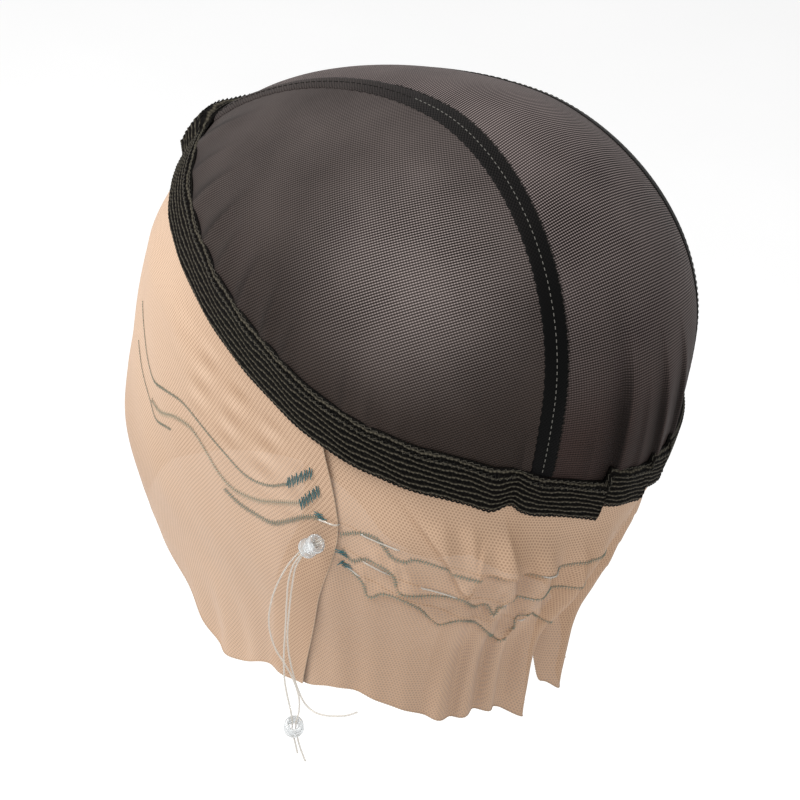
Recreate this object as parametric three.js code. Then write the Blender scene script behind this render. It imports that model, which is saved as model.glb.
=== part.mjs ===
// A stretch cap that lies under a wig: a three-panel mesh crown, a ribbed elastic band
// and a lace skirt in two pieces, drawn in at the nape by three elastic cords.
// Millimetres. +Z is up, the wearer faces -Y, and the wearer's left is +X.
import * as THREE from 'three';
import { mergeVertices } from 'three/addons/utils/BufferGeometryUtils.js';

// The form that the cap is stretched over, measured from its middle
const HALF_WIDTH = 77;
const FRONT_REACH = 112;
const BACK_REACH = 81;
const CROWN_HEIGHT = 71.4;
const UNDER_HEIGHT = 118;
const PLAN_POWER = 1.82;
const SIDE_POWER = 2.08;
const BROW_REACH = 96;
const BROW_FLATNESS = 0.4;
const BROW_EASE = 6;

// Cloth
const MESH_WALL = 1;
const LACE_WALL = 1;
const CLEARANCE = 0.5;

// Elastic band: its edges lie on two planes that are high at the front
const BAND_TILT = 20.4;
const BAND_LOWER = -19;
const BAND_DEPTH = 16;
const BAND_RISE = 8;
const BAND_WALL = 1.3;
const BAND_CLEARANCE = 0.65;
const LACE_UNDER_BAND = 1.5;
const RIB_COUNT = 7;
const RIB_HEIGHT = 0.6;
const BAND_SECTIONS = 54;
const CROWN_TUCK = 7;
const LACE_TUCK = 5;

// Crown seams: half the width of the centre panel at the front, the top and the back
const SEAM_AT_FRONT = 17;
const SEAM_AT_TOP = 18.4;
const SEAM_AT_BACK = 42.5;
// The crown is worn a little askew: over the top its right seam lies further out
const SEAM_SLIP = 16;
const TAPE_WIDTH = 7.8;
const TAPE_WALL = 1;

// Lace skirt
const LACE_DROP = 125;
const LACE_BLEND = 22;
const GATHER_FADE = 26;
const CREST_REACH = 8;
const TUCK_FROM = 106;
const TUCK_TO = 122;

// Nape elastic and hanging cords
const ELASTIC_DIAMETER = 0.9;
const CORD_DIAMETER = 0.6;
const STOPPER_LENGTH = 6.4;
const STOPPER_DIAMETER = 6.6;
const STOPPER_BORE = 3;

// Skirt sections: height and width as shares of the drop and the form's half width,
// reach to the front and the back as shares of the form's reaches
const SKIRT = [
  { height: 0.24, width: 0.95, front: 0.96, back: 0.94 },
  { height: 0.0, width: 1.0, front: 1.02, back: 0.99 },
  { height: -0.16, width: 0.985, front: 1.055, back: 0.985 },
  { height: -0.32, width: 0.96, front: 1.08, back: 0.95 },
  { height: -0.48, width: 0.92, front: 1.105, back: 0.865 },
  { height: -0.64, width: 0.87, front: 1.115, back: 0.745 },
  { height: -0.8, width: 0.79, front: 1.055, back: 0.61 },
  { height: -1.0, width: 0.725, front: 0.905, back: 0.58 },
  { height: -1.12, width: 0.72, front: 0.86, back: 0.58 },
];

// Lower edge of the skirt, as a share of the drop, by the angle from the wearer's front
const HEM = [
  { angle: 0, drop: 0.86 },
  { angle: 24, drop: 0.88 },
  { angle: 34, drop: 0.95 },
  { angle: 42, drop: 1.03 },
  { angle: 50, drop: 1.06 },
  { angle: 59, drop: 1.05 },
  { angle: 71, drop: 1.0 },
  { angle: 86, drop: 1.0 },
  { angle: 106, drop: 0.96 },
  { angle: 121, drop: 0.985 },
  { angle: 140, drop: 1.02 },
  { angle: 158, drop: 1.01 },
  { angle: 180, drop: 1.08 },
];

// Where the nape pleats lift the lower edge, or let a tongue hang below it
const HEM_STEPS = [
  { angle: 189, breadth: 6, depth: 17 },
  { angle: 203, breadth: 9, depth: -7 },
];

// Side joins of the lace, by share of the way down: where the front piece ends and
// where the back piece begins, as angles from the wearer's front
const LACE_JOIN = [
  { down: 0, frontEnds: 98, backBegins: 91 },
  { down: 0.3, frontEnds: 103, backBegins: 92 },
  { down: 0.65, frontEnds: 96, backBegins: 80 },
  { down: 1, frontEnds: 88, backBegins: 72 },
];

// Pleats that the nape cords draw up: angle from the wearer's front, breadth and depth
const GATHERS = [
  { angle: 139, breadth: 6, depth: 2.4 },
  { angle: 148, breadth: 6, depth: 3.2 },
  { angle: 158, breadth: 6, depth: 3.6 },
  { angle: 175, breadth: 8, depth: 4.5 },
  { angle: 189, breadth: 7, depth: -3.5 },
  { angle: 202, breadth: 8, depth: 5 },
  { angle: 213, breadth: 6, depth: 3.4 },
  { angle: 223, breadth: 6, depth: 2.4 },
];

// Crumples of the band: angle from the wearer's front, breadth and depth
const BAND_FOLDS = [
  { angle: -14, breadth: 9, depth: 1.2 },
  { angle: 14, breadth: 9, depth: 1.2 },
  { angle: 143, breadth: 9, depth: 0.8 },
  { angle: 172, breadth: 8, depth: 1.3 },
];

// Soft folds of the centre panel that rise from the band at the back
const CROWN_FOLDS = [
  { angle: 172, breadth: 10, depth: 1.8 },
  { angle: 192, breadth: 10, depth: 1.2 },
];
const CROWN_FOLD_START = 1;
const CROWN_FOLD_FULL = 9;
const CROWN_FOLD_HOLD = 16;
const CROWN_FOLD_REACH = 55;

// Heights of the nape cords as shares of the drop, at stations given as angles from the
// wearer's front: at the ear, behind it, beside the nape and at its middle
const NAPE_CORDS = [
  { name: 'nape_cord_upper', ear: 0.41, behind: 0.445, beside: 0.485, nape: 0.475 },
  { name: 'nape_cord_middle', ear: 0.485, behind: 0.54, beside: 0.58, nape: 0.58 },
  { name: 'nape_cord_lower', ear: 0.53, behind: 0.605, beside: 0.665, nape: 0.7 },
];
const NAPE_STATIONS = { ear: 104, behind: 126, beside: 150, nape: 180 };

// The upper stopper lies on the lace at the left ear, the lower one hangs below it
const STOPPER_SEAT = { angle: 98, drop: 0.478 };
const UPPER_AXIS = [0, 0.71, 0.704];
const LOWER_AXIS = [0.566, 0.424, 0.707];
const LOWER_FROM_UPPER = [-4.4, -2.6, -70.6];

// Outline of a stopper from rim to rim, as shares of its radius and of half its length
const STOPPER_OUTLINE = [
  { radius: 0.85, along: -1 },
  { radius: 1, along: -0.8 },
  { radius: 1, along: -0.35 },
  { radius: 0.72, along: -0.15 },
  { radius: 0.72, along: 0.15 },
  { radius: 1, along: 0.35 },
  { radius: 1, along: 0.8 },
  { radius: 0.85, along: 1 },
];

// Routes of the free cords, chosen by hand, measured from the middle of the upper stopper
const CORD_ROUTES = {
  hanging_cord_front: [
    [0, 3.5, 4.3], [0, 1.7, 2.5], [0, -0.5, 0.4], [0, -2.9, -2], [0, -8.1, -9.9],
    [-0.1, -11, -16.2], [-0.5, -13.5, -23.4], [-0.9, -14.8, -30.1], [-1.1, -14.8, -35.5],
    [-1.4, -13.5, -40.2], [-1.6, -11, -44.4], [-1.8, -7.8, -47.2], [-1.9, -4.6, -50],
    [-1.9, -1.6, -53.7], [-1.9, 0.3, -57.7], [-1.8, 0.8, -61.8], [-2.5, -0.5, -67.6],
    [-4.1, -1.6, -69.7], [-5.4, -2.6, -71.4], [-6.7, -3.5, -73.3], [-7, -1.2, -79.1], [-6.6, 2, -82.9],
  ],
  hanging_cord_back: [
    [0.5, 4.2, 3.7], [0.5, 2.3, 1.9], [0.5, 0.2, -0.2], [0.5, -2.2, -2.6], [0.8, -5.9, -9.4],
    [1, -6.9, -15.7], [1.1, -6.7, -22.6], [1, -6.3, -29.9], [0.8, -6.1, -37.3], [0.5, -5.8, -44.9],
    [0, -5, -52.1], [-0.4, -3.4, -57.9], [-0.8, -1.9, -62.3], [-1.9, -1.4, -67.6],
    [-3.4, -2.5, -69.7], [-4.7, -3.5, -71.4], [-6, -4.5, -73.3], [-6.6, -3, -78.3], [-6.6, -1.6, -81.5],
  ],
  hanging_cord_loose: [
    [-0.5, 4.2, 3.7], [-0.5, 2.3, 1.9], [-0.5, 0.2, -0.2], [-0.5, -2.2, -2.6], [-0.6, -5.8, -10.2],
    [-1.3, -7, -16.1], [-2.2, -7.9, -24.4], [-2.8, -8.3, -32.3], [-3.2, -8.1, -39.8], [-3.5, -6.7, -46],
    [-3.7, -4.4, -51.8], [-3.9, -1.9, -56.4], [-4, 1.1, -59.7], [-4, 5.2, -60.9],
    [-4, 9.8, -60], [-4, 14.6, -57.9], [-4, 18.9, -55.4], [-4, 22.4, -52.5],
  ],
};

// Facets: steps along and across each sheet and cord
const CROWN_ALONG = 26;
const CENTRE_ACROSS = 8;
const SIDE_DOWN = 7;
const LACE_DOWN = 8;
const LACE_FRONT_ALONG = 28;
const LACE_BACK_SIDES = 7;
const LACE_BACK_MIDDLE = 34;
const NAPE_CORD_POINTS = 34;
const NAPE_CORD_STEPS = 28;
const CORD_STEPS = 40;
const CORD_SIDES = 8;
const STOPPER_SIDES = 12;

const CLEAR = { color: 0xdcdedc, roughness: 0.15, metalness: 0 };
const MESH_CLOTH = { color: 0x4a4341, roughness: 0.85, metalness: 0 };
const TAPE_CLOTH = { color: 0x2a2525, roughness: 0.85, metalness: 0 };
const ELASTIC = { color: 0x1a1613, roughness: 0.8, metalness: 0 };
const LACE = { color: 0xb99b82, roughness: 0.9, metalness: 0 };

const { clamp, degToRad, euclideanModulo, lerp, radToDeg, smoothstep } = THREE.MathUtils;
const slope = Math.tan(degToRad(BAND_TILT));
const bandUpper = BAND_LOWER + BAND_DEPTH;

// An angle from the wearer's front, in degrees, as an angle from +X, with 90 at the left ear
const azimuth = (angle) => degToRad(angle - 90);

// Root of a function that changes sign once between two values
function solve(f, low, high) {
  const rising = f(high) > 0;
  for (let step = 0; step < 40; step += 1) {
    const middle = (low + high) / 2;
    if (f(middle) > 0 === rising) high = middle;
    else low = middle;
  }
  return (low + high) / 2;
}

// Value of one column of a table at a key, on a smooth curve through its rows
function column(table, key, name, at) {
  const last = table.length - 1;
  const rising = table[last][key] > table[0][key];
  let row = 0;
  while (row < last - 1 && (rising ? at > table[row + 1][key] : at < table[row + 1][key])) row += 1;
  const slopeAt = (i) => {
    const [before, after] = [table[Math.max(i - 1, 0)], table[Math.min(i + 1, last)]];
    return (after[name] - before[name]) / (after[key] - before[key]);
  };
  const [from, to] = [table[row], table[row + 1]];
  const run = to[key] - from[key];
  const t = clamp((at - from[key]) / run, 0, 1);
  const ease = t * t * (3 - 2 * t);
  const bend = run * t * (1 - t) * (slopeAt(row) * (1 - t) - slopeAt(row + 1) * t);
  return lerp(from[name], to[name], ease) + bend;
}

// Smooth bump that is 1 at 0 and 0 beyond 1 and -1
const bump = (x) => (Math.abs(x) < 1 ? Math.cos((x * Math.PI) / 2) ** 2 : 0);

// How far folds stand out at an angle from the wearer's front, in degrees
function foldDepth(folds, angle) {
  return folds.reduce((sum, fold) => sum + fold.depth * bump((angle - fold.angle) / fold.breadth), 0);
}

// The form's surface is where this is 0: less inside it, more outside
function formValue({ x, y, z }) {
  const length = y > 0 ? BACK_REACH : FRONT_REACH;
  const height = z > 0 ? CROWN_HEIGHT : UNDER_HEIGHT;
  const plan = Math.abs(x / HALF_WIDTH) ** PLAN_POWER + Math.abs(y / length) ** PLAN_POWER;
  return plan + Math.abs(z / height) ** SIDE_POWER - 1;
}

function formNormal({ x, y, z }) {
  const length = y > 0 ? BACK_REACH : FRONT_REACH;
  const height = z > 0 ? CROWN_HEIGHT : UNDER_HEIGHT;
  const part = (value, size, power) => (Math.sign(value) * Math.abs(value / size) ** (power - 1) * power) / size;
  return new THREE.Vector3(
    part(x, HALF_WIDTH, PLAN_POWER),
    part(y, length, PLAN_POWER),
    part(z, height, SIDE_POWER),
  ).normalize();
}

function formRadius(angle, height) {
  const vertical = height > 0 ? CROWN_HEIGHT : UNDER_HEIGHT;
  const left = Math.max(0, 1 - Math.abs(height / vertical) ** SIDE_POWER);
  const length = Math.sin(angle) > 0 ? BACK_REACH : FRONT_REACH;
  const across = Math.abs(Math.cos(angle) / HALF_WIDTH) ** PLAN_POWER;
  const along = Math.abs(Math.sin(angle) / length) ** PLAN_POWER;
  return (left / (across + along)) ** (1 / PLAN_POWER);
}

const planPoint = (angle, radius, z) => new THREE.Vector3(radius * Math.cos(angle), radius * Math.sin(angle), z);

// Height above the plane of the band, which curves up a little at the back
const planeOffset = ({ y, z }) => z + slope * y - BAND_RISE * (Math.max(y, 0) / BACK_REACH) ** 2;

// The brow is flatter than the form: what lies beyond it is eased back
function browEase(point) {
  const beyond = -BROW_REACH - point.y;
  if (beyond <= 0) return 1;
  const span = beyond + BROW_EASE;
  point.y = -BROW_REACH - beyond + (BROW_FLATNESS * beyond ** 2) / span;
  return 1 - (BROW_FLATNESS * (beyond ** 2 + 2 * beyond * BROW_EASE)) / span ** 2;
}

// A point of the form, eased at the brow, with the direction that faces out there
function onForm(point, lift = 0) {
  const normal = formNormal(point);
  normal.y /= browEase(point);
  normal.normalize();
  return { point: point.addScaledVector(normal, lift), normal };
}

// Point of the form where a plane parallel to the band's edges crosses an angle
function bandPoint(angle, offset) {
  const point = (z) => planPoint(angle, formRadius(angle, z), z);
  const above = (z) => planeOffset(point(z)) - offset;
  return point(solve(above, -0.9 * UNDER_HEIGHT, 0.9 * CROWN_HEIGHT));
}

function formAlong(direction) {
  const far = 2 * (FRONT_REACH + BACK_REACH);
  const reach = solve((length) => formValue(direction.clone().multiplyScalar(length)), 0, far);
  return direction.clone().multiplyScalar(reach);
}

// Half the width of the centre panel on one side, a smooth curve through its three sizes
function seamAt(y, side) {
  const front = (y * (y - BACK_REACH)) / (FRONT_REACH * (FRONT_REACH + BACK_REACH));
  const top = ((y + FRONT_REACH) * (BACK_REACH - y)) / (FRONT_REACH * BACK_REACH);
  const back = (y * (y + FRONT_REACH)) / (BACK_REACH * (FRONT_REACH + BACK_REACH));
  const atTop = side < 0 ? SEAM_AT_TOP + SEAM_SLIP : SEAM_AT_TOP;
  return SEAM_AT_FRONT * front + atTop * top + SEAM_AT_BACK * back;
}

// Point of the crown at an angle from front to back, and across as a share of the
// centre panel's half width plus a distance
function crownPoint(arc, share, beside) {
  const at = (reach) => {
    const y = reach * Math.sin(arc);
    return new THREE.Vector3(share * seamAt(y, share) + beside, y, reach * Math.cos(arc));
  };
  return at(solve((reach) => formValue(at(reach)), 0, 1.5 * Math.max(FRONT_REACH, BACK_REACH)));
}

// Angles at which a line from front to back meets a plane of the band at its two ends
function crownEnds(share, beside, offset) {
  const above = (arc) => planeOffset(crownPoint(arc, share, beside)) - offset;
  const wellBelow = degToRad(135);
  return [solve(above, 0, -wellBelow), solve(above, 0, wellBelow)];
}

// Closed wall of cloth: a grid of points, each moved out and in by half the wall
function clothWall(columns, rows, wall, place) {
  const positions = [];
  for (const side of [0.5, -0.5]) {
    for (const u of columns) {
      for (const v of rows) {
        const { point, normal } = place(u, v);
        positions.push(...point.addScaledVector(normal, side * wall).toArray());
      }
    }
  }
  const across = rows.length;
  const layer = columns.length * across;
  const faces = [];
  const quad = (a, b, c, d) => faces.push(a, b, c, a, c, d);
  for (let i = 0; i < columns.length - 1; i += 1) {
    for (let j = 0; j < across - 1; j += 1) {
      const a = i * across + j;
      quad(a, a + across, a + across + 1, a + 1);
      quad(layer + a, layer + a + 1, layer + a + across + 1, layer + a + across);
    }
    const low = i * across;
    const high = low + across - 1;
    quad(low, layer + low, layer + low + across, low + across);
    quad(high, high + across, layer + high + across, layer + high);
  }
  for (let j = 0; j < across - 1; j += 1) {
    const end = (columns.length - 1) * across + j;
    quad(j, j + 1, layer + j + 1, layer + j);
    quad(end, layer + end, layer + end + 1, end + 1);
  }
  return closedGeometry(positions, faces);
}

// One closed mesh: shared corners merged, faces without area dropped, faces turned out
function closedGeometry(positions, faces) {
  const loose = new THREE.BufferGeometry();
  loose.setAttribute('position', new THREE.Float32BufferAttribute(positions, 3));
  loose.setIndex(faces);
  const merged = mergeVertices(loose, 1e-3);
  const corner = (i) => new THREE.Vector3().fromBufferAttribute(merged.attributes.position, i);
  const kept = [];
  let volume = 0;
  for (let i = 0; i < merged.index.count; i += 3) {
    const [a, b, c] = [0, 1, 2].map((step) => merged.index.getX(i + step));
    if (a !== b && b !== c && c !== a) {
      kept.push(a, b, c);
      volume += corner(a).dot(corner(b).cross(corner(c)));
    }
  }
  merged.setIndex(volume < 0 ? kept.reverse() : kept);
  merged.computeVertexNormals();
  return merged;
}

const steps = (count, from = 0, to = 1) => Array.from({ length: count + 1 }, (_, i) => lerp(from, to, i / count));

function mesh(name, geometry, finish) {
  const piece = new THREE.Mesh(geometry, new THREE.MeshStandardMaterial(finish));
  piece.name = name;
  return piece;
}

// Crown
const crownEdge = BAND_LOWER + CROWN_TUCK;

// Folds of the centre panel fade out at the band and above their reach
function crownFold(point) {
  const above = planeOffset(point) - bandUpper;
  const rise = smoothstep(above, CROWN_FOLD_START, CROWN_FOLD_FULL);
  const fade = rise * (1 - smoothstep(above, CROWN_FOLD_HOLD, CROWN_FOLD_REACH));
  const angle = radToDeg(Math.atan2(point.y, point.x)) + 90;
  return point.y > 0 ? fade * foldDepth(CROWN_FOLDS, angle) : 0;
}

function crownCentre() {
  const rows = steps(CENTRE_ACROSS, -1, 1).map((across) => ({ across, ends: crownEnds(across, 0, crownEdge) }));
  const place = (along, { across, ends }) => {
    const point = crownPoint(lerp(...ends, along), across, 0);
    return onForm(point, crownFold(point));
  };
  return clothWall(steps(CROWN_ALONG), rows, MESH_WALL, place);
}

function crownSide(side) {
  const beside = side * CLEARANCE;
  const ends = crownEnds(side, beside, crownEdge);
  const corners = ends.map((arc) => crownPoint(arc, side, beside));
  const angles = corners.map(({ x, y }) => Math.atan2(y, side * x));
  const place = (along, down) => {
    const seam = crownPoint(lerp(...ends, along), side, beside);
    const angle = lerp(...angles, along);
    const edge = bandPoint(side > 0 ? angle : Math.PI - angle, crownEdge);
    const between = seam.normalize().lerp(edge.normalize(), down).normalize();
    return onForm(formAlong(between));
  };
  return clothWall(steps(CROWN_ALONG), steps(SIDE_DOWN), MESH_WALL, place);
}

// Tape of doubled mesh over each seam, from the band's front edge to its back edge
function seamTape(side) {
  const lift = (MESH_WALL + TAPE_WALL) / 2 + CLEARANCE;
  const top = bandUpper + 2 * CLEARANCE;
  const rows = steps(2, -0.5, 0.5).map((across) => {
    const beside = across * TAPE_WIDTH;
    return { beside, ends: crownEnds(side, beside, top) };
  });
  const place = (along, { beside, ends }) => onForm(crownPoint(lerp(...ends, along), side, beside), lift);
  return clothWall(steps(CROWN_ALONG), rows, TAPE_WALL, place);
}

// Ribbed elastic band, a closed ring of one section swept round the form
function elasticBand() {
  const inside = Math.max(MESH_WALL, LACE_WALL) / 2 + BAND_CLEARANCE;
  const outside = inside + BAND_WALL;
  const ribs = steps(2 * RIB_COUNT).map((share, i) => ({ share, out: outside + (i % 2) * RIB_HEIGHT }));
  const back = [1, 0.67, 0.33, 0].map((share) => ({ share, out: inside }));
  const section = [...ribs, ...back];
  const positions = [];
  const faces = [];
  for (let i = 0; i < BAND_SECTIONS; i += 1) {
    const angle = (i / BAND_SECTIONS) * 360 - 180;
    const fold = foldDepth(BAND_FOLDS, angle) + foldDepth(BAND_FOLDS, angle + 360);
    for (const { share, out } of section) {
      const { point } = onForm(bandPoint(azimuth(angle), BAND_LOWER + share * BAND_DEPTH), out + fold);
      positions.push(...point.toArray());
    }
    const next = (i + 1) % BAND_SECTIONS;
    section.forEach((_, j) => {
      const k = (j + 1) % section.length;
      const [a, b] = [i * section.length + j, next * section.length + j];
      const [c, d] = [next * section.length + k, i * section.length + k];
      faces.push(a, b, c, a, c, d);
    });
  }
  return closedGeometry(positions, faces);
}

// Lace skirt: follows the form under the band and hangs free below it
const fromFront = (angle) => Math.abs(euclideanModulo(angle + 180, 360) - 180);

function skirtRadius(angle, height) {
  const share = height / LACE_DROP;
  const width = HALF_WIDTH * column(SKIRT, 'height', 'width', share);
  const front = FRONT_REACH * column(SKIRT, 'height', 'front', share);
  const back = BACK_REACH * column(SKIRT, 'height', 'back', share);
  const turn = azimuth(angle);
  const length = Math.sin(turn) > 0 ? back : front;
  return 1 / Math.hypot(Math.cos(turn) / width, Math.sin(turn) / length);
}

function skirtPoint(angle, height) {
  const turn = azimuth(angle);
  const form = planPoint(turn, formRadius(turn, height), height);
  const free = smoothstep(BAND_LOWER - planeOffset(form), 0, LACE_BLEND);
  browEase(form);
  return form.lerp(planPoint(turn, skirtRadius(angle, height), height), free);
}

const laceTop = (angle) => bandPoint(azimuth(angle), BAND_LOWER + LACE_TUCK).z;
const laceFoot = (angle) => bandPoint(azimuth(angle), BAND_LOWER).z - LACE_UNDER_BAND;

function laceHem(angle) {
  const around = euclideanModulo(angle, 360);
  return foldDepth(HEM_STEPS, around) - LACE_DROP * column(HEM, 'angle', 'drop', fromFront(angle));
}

// How far the nape pleats stand out, none under the band
function gather(angle, height) {
  return smoothstep(laceFoot(angle) - height, 0, GATHER_FADE) * foldDepth(GATHERS, euclideanModulo(angle, 360));
}

// What a taut cord clears: the highest pleat near an angle
function crest(angle, height) {
  const near = steps(8, angle - CREST_REACH, angle + CREST_REACH);
  return Math.max(0, ...near.map((beside) => gather(beside, height)));
}

// Sheet of lace between two sides, each an angle for every share of the way down: from
// -1 to 0 it lies under the band, and from 0 to 1 it hangs
function laceWall(columns, leftSide, rightSide, offset) {
  const at = (u, down) => {
    const angle = lerp(leftSide(down), rightSide(down), u);
    const foot = laceFoot(angle);
    const height = down < 0 ? lerp(foot, laceTop(angle), -down) : lerp(foot, laceHem(angle), down);
    return { angle, height };
  };
  const surface = (u, down) => {
    const { angle, height } = at(u, down);
    const point = skirtPoint(angle, height);
    const out = new THREE.Vector3(point.x, point.y, 0).normalize();
    return point.addScaledVector(out, offset(angle, height));
  };
  const place = (u, down) => {
    const near = 1e-3;
    const point = surface(u, down);
    const along = surface(u + near, down).sub(surface(u - near, down));
    const fall = surface(u, down + near).sub(surface(u, down - near));
    const normal = along.cross(fall).normalize();
    if (normal.x * point.x + normal.y * point.y < 0) normal.negate();
    return { point, normal };
  };
  return clothWall(columns, [-1, ...steps(LACE_DOWN)], LACE_WALL, place);
}

function laceFront() {
  const end = (down) => column(LACE_JOIN, 'down', 'frontEnds', down);
  return laceWall(steps(LACE_FRONT_ALONG), (down) => -end(down), end, () => 0);
}

// The back lace slips inside the front lace at the ears
function laceBack() {
  const begin = (down) => column(LACE_JOIN, 'down', 'backBegins', down);
  const inset = LACE_WALL + CLEARANCE;
  const offset = (angle, height) => {
    const near = Math.min(angle, 360 - angle);
    return gather(angle, height) - inset * (1 - smoothstep(near, TUCK_FROM, TUCK_TO));
  };
  const columns = [
    ...steps(LACE_BACK_SIDES, 0, 0.25),
    ...steps(LACE_BACK_MIDDLE, 0.25, 0.75).slice(1),
    ...steps(LACE_BACK_SIDES, 0.75, 1).slice(1),
  ];
  return laceWall(columns, begin, (down) => 360 - begin(down), offset);
}

// Cords
function tube(points, diameter, count) {
  const section = new THREE.Shape(
    steps(CORD_SIDES).slice(1).map((turn) => {
      const angle = turn * 2 * Math.PI;
      return new THREE.Vector2(Math.cos(angle), Math.sin(angle)).multiplyScalar(diameter / 2);
    }),
  );
  const extrudePath = new THREE.CatmullRomCurve3(points);
  return new THREE.ExtrudeGeometry(section, { steps: count, extrudePath, bevelEnabled: false });
}

// An elastic cord lies on the lace from one ear round the nape to the other
function napeCord(drops) {
  const lift = LACE_WALL / 2 + CLEARANCE + ELASTIC_DIAMETER / 2;
  const table = Object.entries(NAPE_STATIONS).map(([name, angle]) => ({ angle, drop: drops[name] }));
  const end = NAPE_STATIONS.ear;
  const points = steps(NAPE_CORD_POINTS, end, 360 - end).map((angle) => {
    const height = -LACE_DROP * column(table, 'angle', 'drop', fromFront(angle));
    const point = skirtPoint(angle, height);
    const out = new THREE.Vector3(point.x, point.y, 0).normalize();
    return point.addScaledVector(out, crest(angle, height) + lift);
  });
  return tube(points, ELASTIC_DIAMETER, NAPE_CORD_STEPS);
}

// Stopper: a bored spool with a waist
function stopper() {
  const half = STOPPER_LENGTH / 2;
  const inner = [-half, half].map((along) => new THREE.Vector2(STOPPER_BORE / 2, along));
  const outer = STOPPER_OUTLINE.map(
    ({ radius, along }) => new THREE.Vector2((radius * STOPPER_DIAMETER) / 2, along * half),
  );
  const outline = [inner[0], ...outer, inner[1], inner[0]];
  return new THREE.LatheGeometry(outline, STOPPER_SIDES).rotateX(Math.PI / 2);
}

function stopperAt(name, place, axis) {
  const spool = mesh(name, stopper(), CLEAR);
  spool.position.copy(place);
  spool.quaternion.setFromUnitVectors(new THREE.Vector3(0, 0, 1), new THREE.Vector3(...axis).normalize());
  return spool;
}

function stopperSeat() {
  const point = skirtPoint(STOPPER_SEAT.angle, -LACE_DROP * STOPPER_SEAT.drop);
  const out = new THREE.Vector3(point.x, point.y, 0).normalize();
  return point.addScaledVector(out, LACE_WALL / 2 + CLEARANCE + STOPPER_DIAMETER / 2);
}

const upper = stopperSeat();
const lower = upper.clone().add(new THREE.Vector3(...LOWER_FROM_UPPER));
const cap = new THREE.Group();
cap.position.z = MESH_WALL / 2 - CROWN_HEIGHT;
cap.add(
  mesh('crown_centre', crownCentre(), MESH_CLOTH),
  mesh('crown_left', crownSide(1), MESH_CLOTH),
  mesh('crown_right', crownSide(-1), MESH_CLOTH),
  mesh('seam_tape_left', seamTape(1), TAPE_CLOTH),
  mesh('seam_tape_right', seamTape(-1), TAPE_CLOTH),
  mesh('elastic_band', elasticBand(), ELASTIC),
  mesh('lace_front', laceFront(), LACE),
  mesh('lace_back', laceBack(), LACE),
  ...NAPE_CORDS.map((cord) => mesh(cord.name, napeCord(cord), CLEAR)),
  stopperAt('stopper_upper', upper, UPPER_AXIS),
  stopperAt('stopper_lower', lower, LOWER_AXIS),
  ...Object.entries(CORD_ROUTES).map(([name, route]) => {
    const points = route.map((point) => new THREE.Vector3(...point).add(upper));
    return mesh(name, tube(points, CORD_DIAMETER, CORD_STEPS), CLEAR);
  }),
);

const model = new THREE.Group();
model.add(cap);

export default model;
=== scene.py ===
# %% [markdown]
# A wig cap is a soft shell of four cloths: a dark mesh crown, a ribbed elastic band, beige lace and
# clear elastic cords. Each one is built here as a thin sheet or a thread in mesh code, over the solids
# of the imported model. This first cell loads those solids, which fix where everything is.

# %% Load the frame
import math

import bpy
import numpy as np
from mathutils import Matrix, Vector


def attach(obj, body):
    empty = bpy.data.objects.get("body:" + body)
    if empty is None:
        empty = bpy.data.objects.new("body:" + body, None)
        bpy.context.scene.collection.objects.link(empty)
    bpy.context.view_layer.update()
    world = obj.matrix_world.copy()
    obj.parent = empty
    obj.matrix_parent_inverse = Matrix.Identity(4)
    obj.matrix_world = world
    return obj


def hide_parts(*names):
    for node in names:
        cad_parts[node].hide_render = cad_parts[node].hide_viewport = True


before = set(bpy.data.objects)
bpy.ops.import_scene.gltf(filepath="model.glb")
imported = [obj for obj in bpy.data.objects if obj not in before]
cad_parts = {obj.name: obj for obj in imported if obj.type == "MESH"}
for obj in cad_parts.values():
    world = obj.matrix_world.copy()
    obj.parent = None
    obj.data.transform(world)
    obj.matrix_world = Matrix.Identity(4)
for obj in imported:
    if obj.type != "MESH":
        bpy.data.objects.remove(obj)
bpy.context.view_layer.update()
print("nodes:", sorted(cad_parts))

# %% [markdown]
# The solids were drawn in millimetres round the middle of the form that the cap is stretched over, then
# moved down so that the top of the hollow is the origin. The same sizes are used here, so that each cloth
# lies in its solid. One helper turns them into metres in the model's own frame.

# %% Sizes of the form, in millimetres
HALF_WIDTH = 77.0
FRONT_REACH = 112.0
BACK_REACH = 81.0
CROWN_HEIGHT = 71.4
UNDER_HEIGHT = 118.0
PLAN_POWER = 1.82
SIDE_POWER = 2.08
BROW_REACH = 96.0
BROW_FLATNESS = 0.4
BROW_EASE = 6.0
MESH_WALL = 1.0
LACE_WALL = 1.0
CLEARANCE = 0.5
RAISE = MESH_WALL / 2 - CROWN_HEIGHT
MM = 0.001


def metres(points):
    return (np.asarray(points, float) + (0, 0, RAISE)) * MM


print("the form's middle lies", metres((0, 0, 0)), "m from the origin")

# %% [markdown]
# Its place, turn and lens were worked out once from the photograph, by laying the solids' outlines over
# it.

# %% Camera
CAMERA_PLACE = (0.76593, 0.55262, 0.37532)
CAMERA_RIGHT = (-0.63706, 0.76330, 0.10738)
CAMERA_UP = (-0.29172, -0.36770, 0.88301)
CAMERA_LENS = 145.65


def placed(name, data):
    """A new object for some data, put in the scene."""
    made = bpy.data.objects.new(name, data)
    bpy.context.scene.collection.objects.link(made)
    return made


camera = placed("camera", bpy.data.cameras.new("camera"))
right, up = Vector(CAMERA_RIGHT).normalized(), Vector(CAMERA_UP).normalized()
turn = Matrix((right, up, right.cross(up))).transposed()
camera.matrix_world = Matrix.Translation(CAMERA_PLACE) @ turn.to_4x4()
camera.data.lens = CAMERA_LENS
camera.data.sensor_width = 36
camera.data.clip_end = 20
bpy.context.scene.camera = camera
print("camera at", tuple(round(x, 3) for x in camera.location))

# %% [markdown]
# Shaders are easier to read as sums than as lists of nodes. This class wraps one output of a node, so
# that `1 - mask` or `rib * 0.5` adds the Math nodes by itself. Every other node comes from `node`.

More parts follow.
